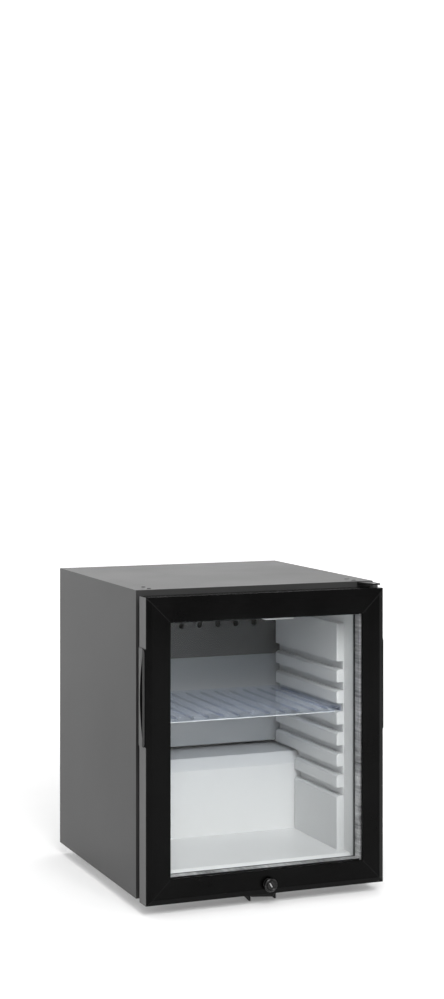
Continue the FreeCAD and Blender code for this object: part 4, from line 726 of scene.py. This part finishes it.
def white_stage():
    """Floor that bends up into a backdrop: flat, then a quarter circle, then upright.

    It glows for the camera, more with the distance from the object, and behind the object for mirrors and
    panes.
    """
    front, bend, radius, top, half_width = -6.0, 4.0, 1.5, 7.0, 9.0
    turn = np.linspace(0.0, math.pi / 2, 17)
    along = np.concatenate([[front], bend + radius * np.sin(turn), [bend + radius]])
    up = np.concatenate([[0.0], radius * (1.0 - np.cos(turn)), [top]])
    across = np.tile([-half_width, half_width], len(along))
    points = np.stack([across, np.repeat(along, 2), np.repeat(up, 2)], axis=1)
    row = np.arange(len(along) - 1) * 2
    floor = surface("floor", points, [np.stack([row, row + 1, row + 3, row + 2], axis=1)])
    paper = Finish("floor_paper", Roughness=0.9, Specular_IOR_Level=0.1)
    paper.give(Base_Color=paper.blend(paper.span(paper.noise(3.0), 0.3, 0.7), grey(0.78), grey(0.80)))
    y = paper.axes()[1]
    direct, passed = paper.seen()
    reach = paper.node("ShaderNodeVectorMath", {"operation": "LENGTH"}, {0: paper.here()}, output="Value")
    behind = paper.span(y, -1.5, -0.8, 0.0, 0.18) + paper.span(y, 1.0, 4.5, 0.0, 0.6)
    shine = direct * paper.span(reach, 0.9, 2.6, 0.18, 0.75) + passed * behind
    glow = paper.node("ShaderNodeEmission", values={"Color": grey(1.0), "Strength": shine})
    paper.show(paper.node("ShaderNodeAddShader", values={0: paper.body(), 1: glow}))
    floor.data.materials.append(paper.material)


def lamp(name, place, aim, size, power):
    """Square soft light aimed at a point."""
    data = bpy.data.lights.new(name, "AREA")
    data.size = size
    data.energy = power
    made = bpy.data.objects.new(name, data)
    made.location = place
    made.rotation_euler = (Vector(aim) - Vector(place)).to_track_quat("-Z", "Y").to_euler()
    bpy.context.scene.collection.objects.link(made)


def studio():
    """White surroundings, dimmer towards the front, and four soft lights."""
    world = bpy.data.worlds.new("studio")
    bpy.context.scene.world = world
    world.use_nodes = True
    sky = Graph(world.node_tree)
    backdrop = world.node_tree.nodes["Background"]
    y = sky.parts(sky.node("ShaderNodeTexCoord", output="Generated"))[1]
    direct, passed = sky.seen()
    ahead = sky.span(y, -0.8, 0.4, 0.30, 0.60)
    sky.feed(backdrop.inputs["Color"], grey(1.0))
    sky.feed(backdrop.inputs["Strength"], ahead.larger(direct).larger(passed * 0.5))
    lamp("front_light", (-0.5, -2.9, 2.4), aim=(0.0, 0.0, 0.22), size=2.0, power=122.0)
    lamp("fill_light", (2.6, -2.2, 1.0), aim=(0.0, 0.0, 0.22), size=1.4, power=25.0)
    lamp("top_light", (0.2, 0.5, 2.8), aim=(0.0, 0.0, 0.4), size=1.8, power=30.0)
    lamp("rim_light", (-2.2, 3.0, 1.4), aim=(0.0, 0.0, 0.35), size=1.6, power=30.0)


def camera():
    """Level view from the front left, above the cabinet, framed downwards by the shift.

    Its place, heading and lens are fitted to the cabinet's edges.
    """
    data = bpy.data.cameras.new("view")
    data.sensor_width = 36.0
    data.lens = 68.70
    data.shift_y = -0.108
    data.clip_end = 60.0
    made = bpy.data.objects.new("view", data)
    made.location = (-1.1861, -2.9774, 0.8093)
    made.rotation_euler = Vector((0.3725, 0.9280, 0.0)).to_track_quat("-Z", "Y").to_euler()
    bpy.context.scene.collection.objects.link(made)
    bpy.context.scene.camera = made


seal_bellows()
screws()
lock_bezel()
keyway_gate()
white_stage()
studio()
camera()
bpy.context.scene.view_settings.view_transform = "Standard"
# A ray meets both panes and the ribbed shelf before it reaches the liner behind them.
bpy.context.scene.cycles.transparent_max_bounces = 32
